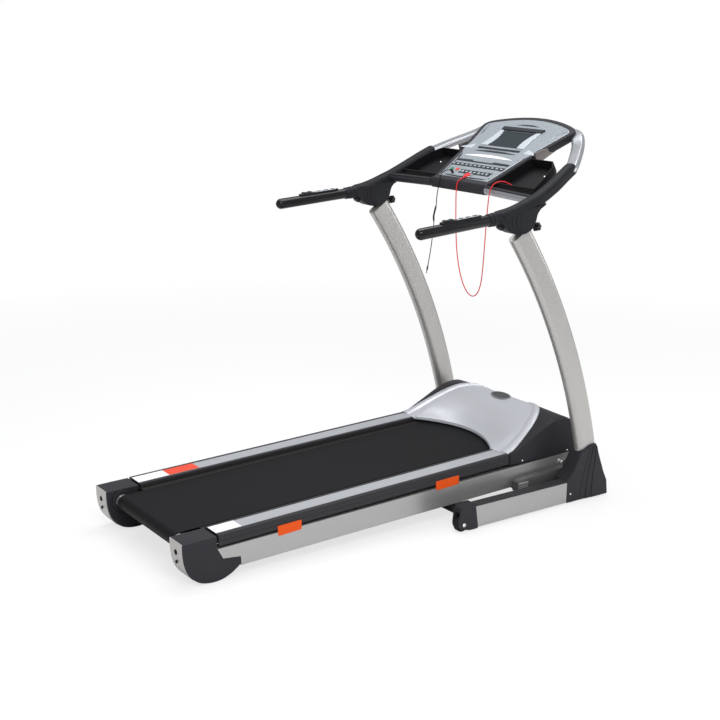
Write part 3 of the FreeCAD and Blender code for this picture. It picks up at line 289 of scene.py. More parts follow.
STAY = painted_metal("stay_bronze", (0.15, 0.135, 0.125), 0.5, 0.4)
CORD_RED = rubbery("cord_red", (0.62, 0.03, 0.035), 0.5, 1800)
CABLE_BLACK = moulded("cable_black", (0.012, 0.012, 0.013), 0.4)
LAMINATE = laminate()
# Near-black painted shade for the insides of holes, which are shown as flat discs.
HOLE_SHADE = moulded("hole_painted_shade", (0.004, 0.004, 0.004), 0.8)


# ---------------------------------------------------------------- mesh helpers

def built(name, points, faces, place, bevel=0.0, steps=2, angle=32, shade=40):
    """A closed mesh in metres from millimetre points, with rounded edges and outward faces."""
    model = bmesh.new()
    corners = [model.verts.new(place @ Vector(point)) for point in points]
    for face in faces:
        model.faces.new([corners[index] for index in face])
    bmesh.ops.remove_doubles(model, verts=model.verts, dist=0.00002)
    bmesh.ops.recalc_face_normals(model, faces=model.faces)
    if bevel:
        round_edges(model, bevel, steps, angle)
        bmesh.ops.recalc_face_normals(model, faces=model.faces)
    return object_of(name, model, shade)


def round_edges(model, bevel, steps, angle):
    limit = math.radians(angle)
    sharp = [edge for edge in model.edges if edge.is_manifold and edge.calc_face_angle() > limit]
    bmesh.ops.bevel(model, geom=sharp, offset=bevel * MM, segments=steps, profile=0.5,
                    affect="EDGES", clamp_overlap=True)


def object_of(name, model, shade=40):
    mesh = bpy.data.meshes.new(name)
    model.to_mesh(mesh)
    model.free()
    mesh.shade_smooth()
    mesh.set_sharp_from_angle(angle=math.radians(shade))
    thing = bpy.data.objects.new(name, mesh)
    bpy.context.scene.collection.objects.link(thing)
    return thing


def prism(name, place, plane, outline, low, high, bevel=2.0, steps=2, **more):
    """An outline in a plane, carried from low to high along the third axis."""
    def spot(point, depth):
        a, b = point
        return {"XZ": (a, depth, b), "XY": (a, b, depth), "YZ": (depth, a, b)}[plane]

    count = len(outline)
    points = [spot(point, low) for point in outline] + [spot(point, high) for point in outline]
    faces = [tuple(range(count)), tuple(range(count, 2 * count))]
    faces += [(k, (k + 1) % count, (k + 1) % count + count, k + count) for k in range(count)]
    return built(name, points, faces, place, bevel, steps, **more)


def loft(name, place, rings, caps=True, closed=True, **more):
    """A skin over rings of equally many points."""
    count = len(rings[0])
    points = [point for ring in rings for point in ring]
    faces = []
    for row in range(len(rings) - 1):
        for k in range(count if closed else count - 1):
            after = (k + 1) % count
            faces.append((row * count + k, row * count + after, (row + 1) * count + after,
                          (row + 1) * count + k))
    if caps:
        faces += [tuple(range(count)), tuple(range(len(points) - count, len(points)))]
    return built(name, points, faces, place, **more)


def lathe(name, place, profile, centre, along, turns=48, ripple=None, **more):
    """A profile of (distance along, radius) turned about an axis. Ripple shapes the rim."""
    axis = Vector(along).normalized()
    first = axis.orthogonal().normalized()
    second = axis.cross(first)
    rings = []
    for reach, radius in profile:
        ring = []
        for k in range(turns):
            turn = 2 * math.pi * k / turns
            wide = max(radius, 0.02) * (ripple(turn, reach) if ripple else 1)
            ring.append(Vector(centre) + axis * reach
                        + (first * math.cos(turn) + second * math.sin(turn)) * wide)
        rings.append(ring)
    return loft(name, place, rings, **more)


def rounded(points, radius, steps=5):
    """A closed outline with its corners turned into arcs."""
    result = []
    count = len(points)
    for k in range(count):
        before, corner, after = (Vector(points[k - 1]), Vector(points[k]),
                                 Vector(points[(k + 1) % count]))
        inward, outward = before - corner, after - corner
        reach = min(radius, inward.length * 0.45, outward.length * 0.45)
        start = corner + inward.normalized() * reach
        end = corner + outward.normalized() * reach
        for step in range(steps + 1):
            share = step / steps
            result.append(tuple(start.lerp(corner, share).lerp(corner.lerp(end, share), share)))
    return result


def flowing(points, steps=6):
    """A smooth open line through points."""
    points = [Vector(point) for point in points]
    padded = [points[0] * 2 - points[1], *points, points[-1] * 2 - points[-2]]
    line = []
    for a, b, c, d in zip(padded, padded[1:], padded[2:], padded[3:]):
        for step in range(steps):
            t = step / steps
            line.append(0.5 * (2 * b + (c - a) * t + (2 * a - 5 * b + 4 * c - d) * t * t
                               + (3 * b - 3 * c + d - a) * t ** 3))
    return line + [points[-1]]


def arc_through(a, b, c, steps):
    """Points on the circular arc from a through b to c."""
    a, b, c = Vector(a), Vector(b), Vector(c)
    u, v = b - a, c - a
    normal = u.cross(v)
    centre = a + ((v.length_squared * normal.cross(u) + u.length_squared * v.cross(normal))
                  / (2 * normal.length_squared))
    start, end = a - centre, c - centre
    whole = start.angle(end)
    axis = start.cross(end).normalized()
    return [centre + Matrix.Rotation(whole * k / steps, 3, axis) @ start
            for k in range(steps + 1)]


def oval(wide, thick, count=10):
    """A flat oval section: two straight sides and two round ends."""
    half, radius = (wide - thick) / 2, thick / 2
    points = []
    for side in (1, -1):
        for k in range(count + 1):
            turn = math.pi * (k / count - 0.5)
            points.append((side * (half + radius * math.cos(turn)), side * radius * math.sin(turn)))
    return points


def sweep_rings(path, section, normal, swell=None):
    """The rings of a section carried along a path, its second axis near the normal."""
    rings = []
    path = [Vector(point) for point in path]
    for k, spot in enumerate(path):
        ahead = (path[min(k + 1, len(path) - 1)] - path[max(k - 1, 0)]).normalized()
        across = Vector(normal).cross(ahead).normalized()
        upward = ahead.cross(across)
        grow = swell(k / (len(path) - 1)) if swell else 1
        rings.append([spot + across * a * grow + upward * b * grow for a, b in section])
    return rings


def merged(name, things):
    """Several meshes as one object."""
    model = bmesh.new()
    for thing in things:
        model.from_mesh(thing.data)
        bpy.data.objects.remove(thing)
    return object_of(name, model)


def placed(thing, material, body, slot, *nodes):
    """Gives a finished piece its material and body, and hides the solids it stands for. The slot is not
    used.
    """
    thing.data.materials.clear()
    thing.data.materials.append(material)
    even = thing.modifiers.new("even_shading", "WEIGHTED_NORMAL")
    even.keep_sharp = True
    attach(thing, body)
    if nodes:
        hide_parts(*nodes)
    return thing


def carried(node, material):
    """A construction node that shows as it is, with a finish of its own."""
    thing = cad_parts[node]
    thing.data.materials.clear()
    thing.data.materials.append(material)


def eased(node, material, body, slot, bevel=1.5):
    """A copy of a construction node with its edges rounded, which stands for it."""
    model = bmesh.new()
    model.from_mesh(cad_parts[node].data)
    bmesh.ops.remove_doubles(model, verts=model.verts, dist=0.00003)
    bmesh.ops.dissolve_limit(model, angle_limit=0.02, verts=model.verts, edges=model.edges)
    if bevel:
        round_edges(model, bevel, 2, 40)
    thing = object_of(node + "_eased", model, 35)
    return placed(thing, material, body, slot, node)


def set_out(name, model, spots, turn, finish, body, slot):
    """Copies of a small model at many spots, set out by geometry nodes as one plain mesh."""
    tree = bpy.data.node_groups.new(name + "_layout", "GeometryNodeTree")
    tree.is_modifier = True
    for label, kind in (("Spots", "NodeSocketGeometry"), ("Model", "NodeSocketObject"),
                        ("Turn", "NodeSocketRotation"), ("Finish", "NodeSocketMaterial")):
        tree.interface.new_socket(label, in_out="INPUT", socket_type=kind)
    tree.interface.new_socket("Copies", in_out="OUTPUT", socket_type="NodeSocketGeometry")
    start, end = tree.nodes.new("NodeGroupInput"), tree.nodes.new("NodeGroupOutput")
    read = tree.nodes.new("GeometryNodeObjectInfo")
    copy = tree.nodes.new("GeometryNodeInstanceOnPoints")
    real = tree.nodes.new("GeometryNodeRealizeInstances")
    paint = tree.nodes.new("GeometryNodeSetMaterial")
    link = tree.links.new
    link(start.outputs["Spots"], copy.inputs["Points"])
    link(start.outputs["Model"], read.inputs["Object"])
    link(read.outputs["Geometry"], copy.inputs["Instance"])
    link(start.outputs["Turn"], copy.inputs["Rotation"])
    link(copy.outputs["Instances"], real.inputs["Geometry"])
    link(real.outputs["Geometry"], paint.inputs["Geometry"])
    link(start.outputs["Finish"], paint.inputs["Material"])
    link(paint.outputs["Geometry"], end.inputs["Copies"])
    mesh = bpy.data.meshes.new(name + "_spots")
    mesh.from_pydata([Vector(spot) for spot in spots], [], [])
    holder = bpy.data.objects.new(name + "_spots", mesh)
    bpy.context.scene.collection.objects.link(holder)
    layout = holder.modifiers.new("layout", "NODES")
    layout.node_group = tree
    names = {item.name: item.identifier for item in tree.interface.items_tree}
    layout[names["Model"]] = model
    layout[names["Turn"]] = turn
    layout[names["Finish"]] = finish
    bpy.context.view_layer.update()
    graph = bpy.context.evaluated_depsgraph_get()
    plain = bpy.data.meshes.new_from_object(holder.evaluated_get(graph))
    bpy.data.objects.remove(holder)
    thing = bpy.data.objects.new(name, plain)
    bpy.context.scene.collection.objects.link(thing)
    return placed(thing, finish, body, slot)


# ---------------------------------------------------------------- camera and light

def camera():
    """A long lens behind the machine's right, looking a little down at it."""
    spot = Vector((-2.594, -3.691, 1.734))
    yaw, pitch, roll = (math.radians(angle) for angle in (54.74, 14.601, 0.68))
    ahead = Vector((math.cos(pitch) * math.cos(yaw), math.cos(pitch) * math.sin(yaw),
                    -math.sin(pitch)))
    right = Vector((math.sin(yaw), -math.cos(yaw), 0))
    upward = right.cross(ahead)
    right, upward = (right * math.cos(roll) + upward * math.sin(roll),
                     upward * math.cos(roll) - right * math.sin(roll))
    data = bpy.data.cameras.new("camera")
    data.lens = 63.54
    data.shift_x, data.shift_y = 0.0029, 0.0017
    eye = bpy.data.objects.new("camera", data)
    bpy.context.scene.collection.objects.link(eye)
    eye.matrix_world = Matrix((
        (right.x, upward.x, -ahead.x, spot.x), (right.y, upward.y, -ahead.y, spot.y),
        (right.z, upward.z, -ahead.z, spot.z), (0, 0, 0, 1)))
    bpy.context.scene.camera = eye


def lamp(name, spot, target, size, power):
    data = bpy.data.lights.new(name, "AREA")
    data.shape = "RECTANGLE"
    data.size, data.size_y = size
    data.energy = power
    thing = bpy.data.objects.new(name, data)
    thing.location = spot
    thing.rotation_mode = "QUATERNION"
    thing.rotation_quaternion = (Vector(target) - Vector(spot)).to_track_quat("-Z", "Y")
    bpy.context.scene.collection.objects.link(thing)


def studio():
    """A white room: pale floor, soft boxes above and a level sky."""
    bpy.context.scene.view_settings.view_transform = "Standard"
    world = bpy.data.worlds.new("sky")
    bpy.context.scene.world = world
    world.use_nodes = True
    tree = world.node_tree
    sky = tree.nodes["Background"]
    sky.inputs["Color"].default_value = (0.5, 0.51, 0.53, 1)
    white = tree.nodes.new("ShaderNodeBackground")
    white.inputs["Color"].default_value = (1, 1, 1, 1)
    rays = tree.nodes.new("ShaderNodeLightPath")
    mix = tree.nodes.new("ShaderNodeMixShader")
    tree.links.new(rays.outputs["Is Camera Ray"], mix.inputs["Fac"])
    tree.links.new(sky.outputs[0], mix.inputs[1])
    tree.links.new(white.outputs[0], mix.inputs[2])
    tree.links.new(mix.outputs[0], tree.nodes["World Output"].inputs["Surface"])
    lamp("key_box", (-1.8, -3.2, 3.6), (0, 0, 0.6), (2.6, 1.8), 100)
    lamp("top_box", (0.4, 0.6, 3.9), (0.1, 0, 0.4), (3.2, 2.4), 100)
    lamp("side_box", (3.4, -2.2, 1.9), (0.4, 0, 0.7), (1.4, 2.0), 40)
    model = bmesh.new()
    bmesh.ops.create_grid(model, x_segments=1, y_segments=1, size=30)
    floor = object_of("floor", model)
    finish = Finish("floor_white", (0.86, 0.86, 0.86), 0.7)
    cloud = finish.grain(1.5, 2)
    finish.tint(cloud * 0.1, (0.84, 0.84, 0.84))
    glow = finish.tree.nodes.new("ShaderNodeEmission")
    glow.inputs["Strength"].default_value = 1.0
    blend = finish.tree.nodes.new("ShaderNodeMixShader")
    paths = finish.tree.nodes.new("ShaderNodeLightPath")
    far = finish.node("VectorMath", {"operation": "LENGTH"}, 1, _0=finish.spot)
    fade = far.math("MINIMUM", far.math("MAXIMUM", far * 0.4 - 0.8, 0.0), 1.0)
    seen = Wire(finish.tree, paths.outputs["Is Camera Ray"]) * (fade * 0.28 + 0.72)
    finish.tree.links.new(seen.socket, blend.inputs["Fac"])
    finish.tree.links.new(finish.shader.outputs[0], blend.inputs[1])
    finish.tree.links.new(glow.outputs[0], blend.inputs[2])
    finish.tree.links.new(blend.outputs[0], finish.tree.nodes["Material Output"].inputs["Surface"])
    floor.data.materials.append(finish.done())


# ---------------------------------------------------------------- free cords

def panel_point(up, across, rise):
    return tuple(CONSOLE @ Vector((up, across, rise)))


def from_front(back, across, high):
    return tuple(FRONT @ Vector((-back, across, high)))


def smooth_route(points):
    """The line that a NURBS spline draws from its control points."""
    curve = bpy.data.curves.new("route", "CURVE")
    curve.dimensions = "3D"
    curve.resolution_u = 8
    spline = curve.splines.new("NURBS")
    spline.points.add(len(points) - 1)
    for place, point in zip(spline.points, points):
        place.co = (*point, 1)
    spline.order_u = 3
    spline.use_endpoint_u = True
    holder = bpy.data.objects.new("route", curve)
    bpy.context.scene.collection.objects.link(holder)
    bpy.context.view_layer.update()
    graph = bpy.context.evaluated_depsgraph_get()
    line = [vertex.co.copy() for vertex in bpy.data.meshes.new_from_object(
        holder.evaluated_get(graph)).vertices]
    bpy.data.objects.remove(holder)
    return line


def cord_skin(name, line, radius, count=12, taper=None):
    """A round tube on a line in metres, with a radius in millimetres."""
    rings = []
    side = Vector((0.3, 0.9, 0.2))
    for k, spot in enumerate(line):
        ahead = (line[min(k + 1, len(line) - 1)] - line[max(k - 1, 0)]).normalized()
        side = (side - ahead * side.dot(ahead)).normalized()
        other = ahead.cross(side)
        wide = radius * MM * (taper(k / (len(line) - 1)) if taper else 1)
        rings.append([spot + (side * math.cos(turn) + other * math.sin(turn)) * wide
                      for turn in (2 * math.pi * j / count for j in range(count))])
    return loft(name, Matrix.Identity(4), rings, shade=60)


SAFETY_UP, SAFETY_ACROSS = 36, -10
JACK_UP, JACK_ACROSS = 42, 82


def safety_lanyard():
    across = SAFETY_ACROSS
    route = [panel_point(SAFETY_UP - 17.8, across, 3.5),
             panel_point(SAFETY_UP - 27, across + 3, 5.5)]
    route += [from_front(back, across + shift, high) for back, shift, high in (
        (429, 9, 1189), (433, 10, 1152), (433, 8, 1096), (433.5, 5, 1037), (433, 1, 979),
        (433.5, -7, 922), (433, -21, 867), (433.5, -42, 819), (434, -70, 784),
        (436, -104, 770), (438, -136, 783), (440, -158, 822), (442, -168, 876),
        (443, -173, 934), (444.5, -178, 992), (445, -182, 1050), (446, -187, 1106),
        (445, -191, 1155), (443, -195, 1182), (433, -200, 1201), (417, -208, 1211),
        (399, -218, 1211))]
    route += [panel_point(38, across - 229, -9), panel_point(45, across - 239, -24),
              panel_point(49, across - 251, -35), panel_point(52, across - 266, -37.4)]
    line = smooth_route(route)
    cord = cord_skin("lanyard", line, 2.0)
    placed(cord, CORD_RED, "base", "red_cord", "safety_cord")
    heading = math.atan2(-15, 3)
    grip = CONSOLE @ Matrix.Translation((52, across - 266, -37.4)) @ Matrix.Rotation(heading, 4, "Z")
    clip = prism("lanyard_clip", grip, "XY", rounded([(0.4, -5.8), (34, -4.4), (34, 4.4), (0.4, 5.8)], 3),
                 -3.3, 3.3, 1.2)
    placed(clip, KEY_RED, "base", "red_plastic", "cord_clip")
    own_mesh(cord)


def audio_lead():
    up, across = JACK_UP, JACK_ACROSS
    route = [panel_point(up, across + 12, 11), panel_point(up - 4, across + 23, 13),
             panel_point(up - 17, across + 30, 13.5), panel_point(up - 33, across + 29, 12.5)]
    route += [from_front(back, across + shift, high) for back, shift, high in (
        (426, 25, 1193), (432, 22, 1172), (434, 26, 1145), (434.5, 31, 1118), (435, 31, 1090),
        (435.5, 39, 1066), (435, 47, 1043), (434, 44, 1020), (433, 50, 992), (432.5, 55, 950),
        (432, 66, 892), (433, 76, 848))]
    line = smooth_route(route)
    lead = cord_skin("audio_lead", line, 1.75)
    placed(lead, CABLE_BLACK, "base", "black_cable", "audio_cable")
    jack = merged("audio_jack", [
        lathe("barrel", CONSOLE, [(0, 0), (0, 4.4), (15, 4.4), (16, 3.2), (16, 0)],
              (up, across, 0), (0, 0, 1)),
        lathe("elbow", CONSOLE, [(0, 0), (0, 3.5), (9, 3.3), (12, 2.2), (12, 0)],
              (up, across, 11), (0, 1, 0))])
    placed(jack, CABLE_BLACK, "base", "black_cable", "cable_plugs")
    end, ahead = line[-1] / MM, (line[-1] - line[-3]).normalized()
    tip = merged("lead_tip", [
        lathe("tip_body", PLAIN, [(0, 0), (0, 2.2), (6, 3.4), (20, 3.4), (20, 0)], end, ahead, 24),
        lathe("tip_pin", PLAIN, [(20, 0), (20, 1.7), (31, 1.7), (34, 0.8), (34, 0)], end, ahead,
              24)])
    placed(tip, DARK_STEEL, "base", "black_cable", "cable_plugs")
    middle = [spot for spot in line if 1.022 < spot.z < 1.088]
    sleeve = cord_skin("lead_sleeve", middle, 3.4, 16,
                       lambda share: 0.62 + 0.38 * min(1, 9 * share, 9 * (1 - share)))
    placed(sleeve, CABLE_BLACK, "base", "black_cable")
    for thing in (lead, tip, sleeve):
        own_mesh(thing)


camera()
studio()
safety_lanyard()
audio_lead()


# ---------------------------------------------------------------- deck and rails

def end_cap(name, side):
    """The moulded rear corner with its round roller housing and a pressed plate behind."""
    rear_curve = [(2, 155), (2.5, 128), (4, 108), (9, 80), (20, 52), (40, 27), (64, 10)]
    lower = [(92, 2.5), (122, 1), (152, 6), (184, 20), (213.5, 41)]
    rest = [(211.5, 70), (147, 77), (127, 113), (127, 158.4), (60, 157)]
    outline = [tuple(point) for point in flowing(rear_curve + lower, 4)] + rest
    low, high = sorted((side * (RAIL_INNER + 1), side * DECK_HALF))
    shell = prism("cap_shell", REAR, "XZ", outline, low, high, 5, 3)
    inner = side * RAIL_INNER
    housing = lathe("cap_housing", DECK, [(0, 30), (0, 35), (3.5, 36.5), (9, 36.5), (9, 30)],
                    (56, inner + side * 1.5, -43), (0, -side, 0), 48)
    placed(merged(f"end_cap_{name}_moulding", [shell]), CHARCOAL, "deck", "black_plastic",
           f"end_cap_{name}")
    placed(merged(f"roller_housing_{name}", [housing]), CHARCOAL, "deck", "black_plastic")
    line = flowing(rear_curve, 5)
    edge_low, edge_high = side * (RAIL_INNER + 5), side * (DECK_HALF - 5)
    rings = []
    for k, spot in enumerate(line):
        ahead = (line[min(k + 1, len(line) - 1)] - line[max(k - 1, 0)]).normalized()
        out = Vector((ahead.y, -ahead.x))
        if out.x > 0:
            out = -out
        grow = 1 - 0.45 * max(0, (k / (len(line) - 1) - 0.55) / 0.45) ** 2
        middle, half = (edge_low + edge_high) / 2, (edge_high - edge_low) / 2 * grow
        near, far = spot + out * 1.9, spot - out * 1.5
        rings.append([(near.x, middle - half, near.y), (near.x, middle + half, near.y),
                      (far.x, middle + half, far.y), (far.x, middle - half, far.y)])
    plate = loft(f"cap_plate_{name}", REAR, rings, bevel=0.8, angle=50)
    placed(plate, CAP_PLATE, "deck", "silver_plastic")
    middle = side * (RAIL_INNER + DECK_HALF) / 2
    # The plate's holes are black discs on its face: painted shade for their dark insides.
    holes = [lathe("hole", REAR, [(-0.2, 0), (-0.2, 9.5), (0.6, 9.5), (0.6, 8), (4, 8), (4, 0)],
                   (0.6, middle, 118), (-1, 0, 0), 32),
             lathe("hole", REAR, [(-0.2, 0), (-0.2, 6), (0.8, 6), (0.8, 4.5), (4, 4.5), (4, 0)],
                   (3.6, middle, 84), (-1, 0, 0.15), 32)]
    for hole in holes:
        for vertex in hole.data.vertices:
            vertex.co.x = max(vertex.co.x, CAD_LOW.x + 0.0002)
    placed(merged(f"cap_holes_{name}", holes), HOLE_SHADE, "deck", "black_plastic")


RAIL_START, RAIL_END = 127, 1371


def foot_rail(name, side):
    """The dark side rail with its drip skirt, and the ribbed light tread set into it."""
    section = [(RAIL_INNER, -14), (RAIL_INNER, -2.5), (RAIL_INNER + 2, -0.6), (RAIL_INNER + 12, 0),
               (RAIL_INNER + 13, -1.2), (RAIL_INNER + 75, -1.2), (RAIL_INNER + 76, 0),
               (DECK_HALF - 5, -0.2), (DECK_HALF - 1.2, -1.8), (DECK_HALF, -5),
               (DECK_HALF, -20), (DECK_HALF - 1.4, -22), (DECK_HALF - 1.4, -24),
               (DECK_HALF, -26), (DECK_HALF, -39), (DECK_HALF - 5, -40), (DECK_HALF - 5, -8),
               (RAIL_INNER + 6, -7), (RAIL_INNER + 6, -14)]
    rail = prism(f"side_rail_{name}", DECK, "YZ", [(side * y, z) for y, z in section],
                 RAIL_START + 5, RAIL_END, 0, angle=20, shade=25)
    placed(rail, RAIL_BLACK, "deck", "rail_plastic", f"foot_rail_{name}")
    ribs = 12
    low, high = RAIL_INNER + 15, RAIL_INNER + 73
    pitch = (high - low) / ribs
    surface = [(low, -1.5)]
    for k in range(ribs):
        left = low + k * pitch
        surface += [(left + 0.4, -0.5), (left + 0.9, 0.1), (left + pitch - 0.9, 0.1),
                    (left + pitch - 0.4, -0.5)]
    surface += [(high, -1.5)]
    tread = prism(f"tread_insert_{name}", DECK, "YZ", [(side * y, z) for y, z in surface],
                  RAIL_START + 6, RAIL_END - 1, 0, shade=30)
    placed(tread, INSERT, "deck", "silver_plastic")


def band(name, place, plane, outline, low, high, finish, body, slot, soften=3):
    """A plain coloured band or pad with softened corners."""
    return placed(prism(name, place, plane, rounded(outline, soften, 3), low, high, 0.4, 1),
                  finish, body, slot)


def rail_bands():
    """Plain reflective bands on the treads and the outer skirt."""
    def on_tread(name, side, start, end, finish):
        low, high = sorted((side * (RAIL_INNER + 15), side * (RAIL_INNER + 73)))
        band(name, DECK, "XY", [(start, low), (end, low), (end, high), (start, high)], 0.0, 0.7,
             finish, "deck", "silver_plastic", 1.5)

    on_tread("white_band_right", -1, 133, 228, WHITE_BAND)
    on_tread("white_band_left", 1, 133, 255, WHITE_BAND)
    on_tread("red_band_left", 1, 255.5, 378, RED_BAND)
    edge = DECK_HALF - 3.6
    for name, side in SIDES:
        for index, (start, end, tilt_low) in enumerate(((352, 446, -62), (1020, 1127, -61))):
            low, high = sorted((side * edge, side * (DECK_HALF + 1.6)))
            outline = [(start, -26), (start + 3, tilt_low), (end - 1, tilt_low + 2), (end, -26)]
            band(f"orange_band_{name}_{index}", DECK, "XZ", outline, low, high, ORANGE, "deck",
                 "rail_plastic", 2)


def deck_pieces():
    for name, side in SIDES:
        end_cap(name, side)
        foot_rail(name, side)
        eased(f"side_tube_{name}", TUBE_SILVER, "deck", "silver_paint", 2.0)
    rail_bands()
    eased("running_belt", BELT, "deck", "belt_rubber", 0)
    carried("rear_roller", BRIGHT_STEEL)
    carried("front_roller", BRIGHT_STEEL)
    carried("deck_board", LAMINATE)
    carried("deck_cushions", RUBBER)
    eased("deck_cross_members", DARK_STEEL, "deck", "grey_steel", 1.0)
    carried("drive_belt", RUBBER)
    carried("drive_motor", DARK_STEEL)
    carried("motor_rotor", BRIGHT_STEEL)
    carried("motor_controller", DARK_STEEL)


# ---------------------------------------------------------------- motor hood

HOOD_SIDE = [(-407, 207), (-380, 214), (-345, 229), (-300, 250), (-245, 276), (-193, 296),
             (-150, 301), (-115, 298), (-90, 286), (-72, 266), (-58, 232), (-50, 185), (-50, 160)]
HOOD_MIDDLE = [(-330, 206), (-312, 222), (-285, 247), (-252, 273), (-218, 296), (-182, 312),
               (-150, 317), (-124, 306), (-101, 282), (-80, 247), (-61, 208), (-50, 180), (-50, 160)]
RAIL_REACH = 420
SCOOP_HALF, SCOOP_DEPTH = 240, 90
SKIRT_FOOT = 159


def hood_lines():
    return flowing(HOOD_SIDE, 8), flowing(HOOD_MIDDLE, 8)


def hood_point(share, across, lines=hood_lines()):
    """The hood's surface at a share of the way from its rear edge to its front foot."""
    side_line, middle_line = lines
    place = min(max(share, 0), 1) * (len(side_line) - 1)
    index = min(int(place), len(side_line) - 2)
    part = place - index
    outer = side_line[index].lerp(side_line[index + 1], part)
    inner = middle_line[index].lerp(middle_line[index + 1], part)
    mix = 1 - min(1, abs(across) / DECK_HALF) ** 3.4
    spot = outer.lerp(inner, mix)
    if abs(across) < SCOOP_HALF:
        rear = -RAIL_REACH + SCOOP_DEPTH * (1 - (across / SCOOP_HALF) ** 2)
    else:
        rear = -RAIL_REACH + 13 * (abs(across) - SCOOP_HALF) / (DECK_HALF - SCOOP_HALF)
    start = side_line[0].lerp(middle_line[0], mix)
    fade = max(0, 1 - share / 0.45) ** 2
    return Vector((spot.x + (rear - start.x) * fade, across,
                   spot.y + (206 - start.y) * fade * 0.6))


def hood_skirt():
    """The charcoal shell: a shoulder over each rail, the front wall and the side walls."""
    rows, columns = 72, 60
    rings = []
    for row in range(rows + 1):
        share = row / rows
        ring = []
        for column in range(columns + 1):
            across = DECK_HALF * (2 * column / columns - 1)
            spot = hood_point(max(share, 0.012), across)
            inside = abs(across) < dome_half(share) - 6 and share < dome_end()
            sink = 5 if inside else 0
            edge = DECK_HALF - abs(across)
            drop = 4.5 * max(0, 1 - edge / 9) ** 2
            if share < 0.1 and abs(across) < 262:
                spot.x += 9
            ring.append(spot - Vector((0, 0, sink + drop)))
        first, last = ring[0], ring[-1]
        ring = ([Vector((first.x, -DECK_HALF, SKIRT_FOOT))] + ring
                + [Vector((last.x, DECK_HALF, SKIRT_FOOT))])
        rings.append(ring)
    shell = loft("hood_shell", FRONT, rings, caps=False, closed=False, shade=35)
    thick = shell.modifiers.new("wall", "SOLIDIFY")
    thick.thickness = 3.5 * MM
    thick.offset = -1
    return placed(shell, CHARCOAL, "deck", "black_plastic", "hood_skirt")


def dome_end():
    return 0.70


def dome_half(share):
    """Half the silver dome's width at a share of the hood's length."""
    part = min(1, share / dome_end())
    return 326 * max(0.0, 1 - part ** 1.9) ** 0.6


def motor_dome():
    """The silver dome: a rim band, a step down to the brighter middle and a rolled rear lip."""
    rows, columns = 96, 96
    rings = []
    for row in range(-3, rows + 1):
        share = max(row, 0) / rows * dome_end() * 0.998
        half = max(dome_half(share), 3)
        ring = []
        for column in range(columns + 1):
            sweep = 2 * column / columns - 1
            across = half * sweep
            spot = hood_point(share, across)
            border = min((1 - abs(sweep)) * half, (dome_end() - share) * 420)
            step = min(1, max(0, (border - 34) / 5))
            centre = max(0, 1 - abs(border - 20) / 20)
            lift = 3.4 + 1.6 * centre - 4.8 * step * step * (3 - 2 * step)
            edge = min(1, border / 5)
            lift *= math.sin(edge * math.pi / 2)
            spot += Vector((0, 0, lift))
            if row < 0:
                curl = (-row) / 3 * math.pi / 2
                spot += Vector((-5 * math.sin(curl), 0, -5 * (1 - math.cos(curl)) - 3 * (row == -3)))
            ring.append(spot)
        rings.append(ring)
    dome = loft("motor_dome", FRONT, rings, caps=False, closed=False, shade=60)
    thick = dome.modifiers.new("wall", "SOLIDIFY")
    thick.thickness = 3 * MM
    thick.offset = -1
    placed(dome, DOME_SILVER, "deck", "silver_plastic", "motor_hood")
    edge = [FRONT @ (hood_point(0, 236 * (k / 24 - 1)) + Vector((-3.2, 0, 1.6)))
            for k in range(49)]
    placed(cord_skin("dome_lip", edge, 1.9, 10), CHEEK, "deck", "silver_plastic")


def hood_pieces():
    hood_skirt()
    motor_dome()
    spot = hood_point(0.455, 0) + Vector((0, 0, -0.4))
    ahead = (hood_point(0.475, 0) - hood_point(0.435, 0)).normalized()
    upward = Vector((-ahead.z, 0, ahead.x)).normalized()
    turn = Matrix((ahead, (0, 1, 0), upward)).transposed().to_4x4()
    seat = FRONT @ Matrix.Translation(spot) @ turn
    rim = [(54 * math.cos(a), 27 * math.sin(a)) for a in (math.pi * k / 24 for k in range(48))]
    face = [(x * 0.88, y * 0.86) for x, y in rim]
    placed(prism("badge_rim", seat, "XY", [(y, x) for x, y in rim], -3, 1.6, 1.2, 3),
           LOOP_SILVER, "deck", "silver_plastic")
    placed(prism("badge_blank", seat, "XY", [(y, x) for x, y in face], -2, 2.4, 0.8, 2), BADGE,
           "deck", "black_plastic")
    for name, side in SIDES:
        low, high = sorted((side * (DECK_HALF - 96), side * DECK_HALF))
        collar = prism(f"hood_collar_{name}", FRONT, "XZ",
                       [(-413, 160), (-413, 203), (-405, 204), (-405, 160)], low, high, 1.2)
        placed(collar, HUB_BLACK, "deck", "black_plastic")


# ---------------------------------------------------------------- base

def base_pieces():
    for name, side in SIDES:
        eased(f"base_rail_{name}", TUBE_SILVER, "base", "silver_paint", 1.6)
        low, high = sorted((side * (BASE_HALF - 39), side * (BASE_HALF + 0.6)))
        lip = prism(f"rail_lip_{name}", FRONT, "XZ",
                    [(-668, 88.5), (-669.5, 94.2), (-217.5, 94.2), (-217.5, 87.5)], low, high, 1)
        placed(lip, RAIL_BLACK, "base", "black_plastic")
        wheel_bracket(name, side)
        transport_wheel(name, side)
        boot(name, side)
        upright(name, side)
    eased("base_cross_tubes", DARK_STEEL, "base", "grey_steel", 1.5)
    carried("base_feet", RUBBER)
    eased("lift_frame", LINK_STEEL, "lift_frame", "grey_steel", 1.5)
    eased("hinge_brackets", BRIGHT_STEEL, "hinge_brackets", "grey_steel", 0.8)
    carried("incline_actuator", DARK_STEEL)


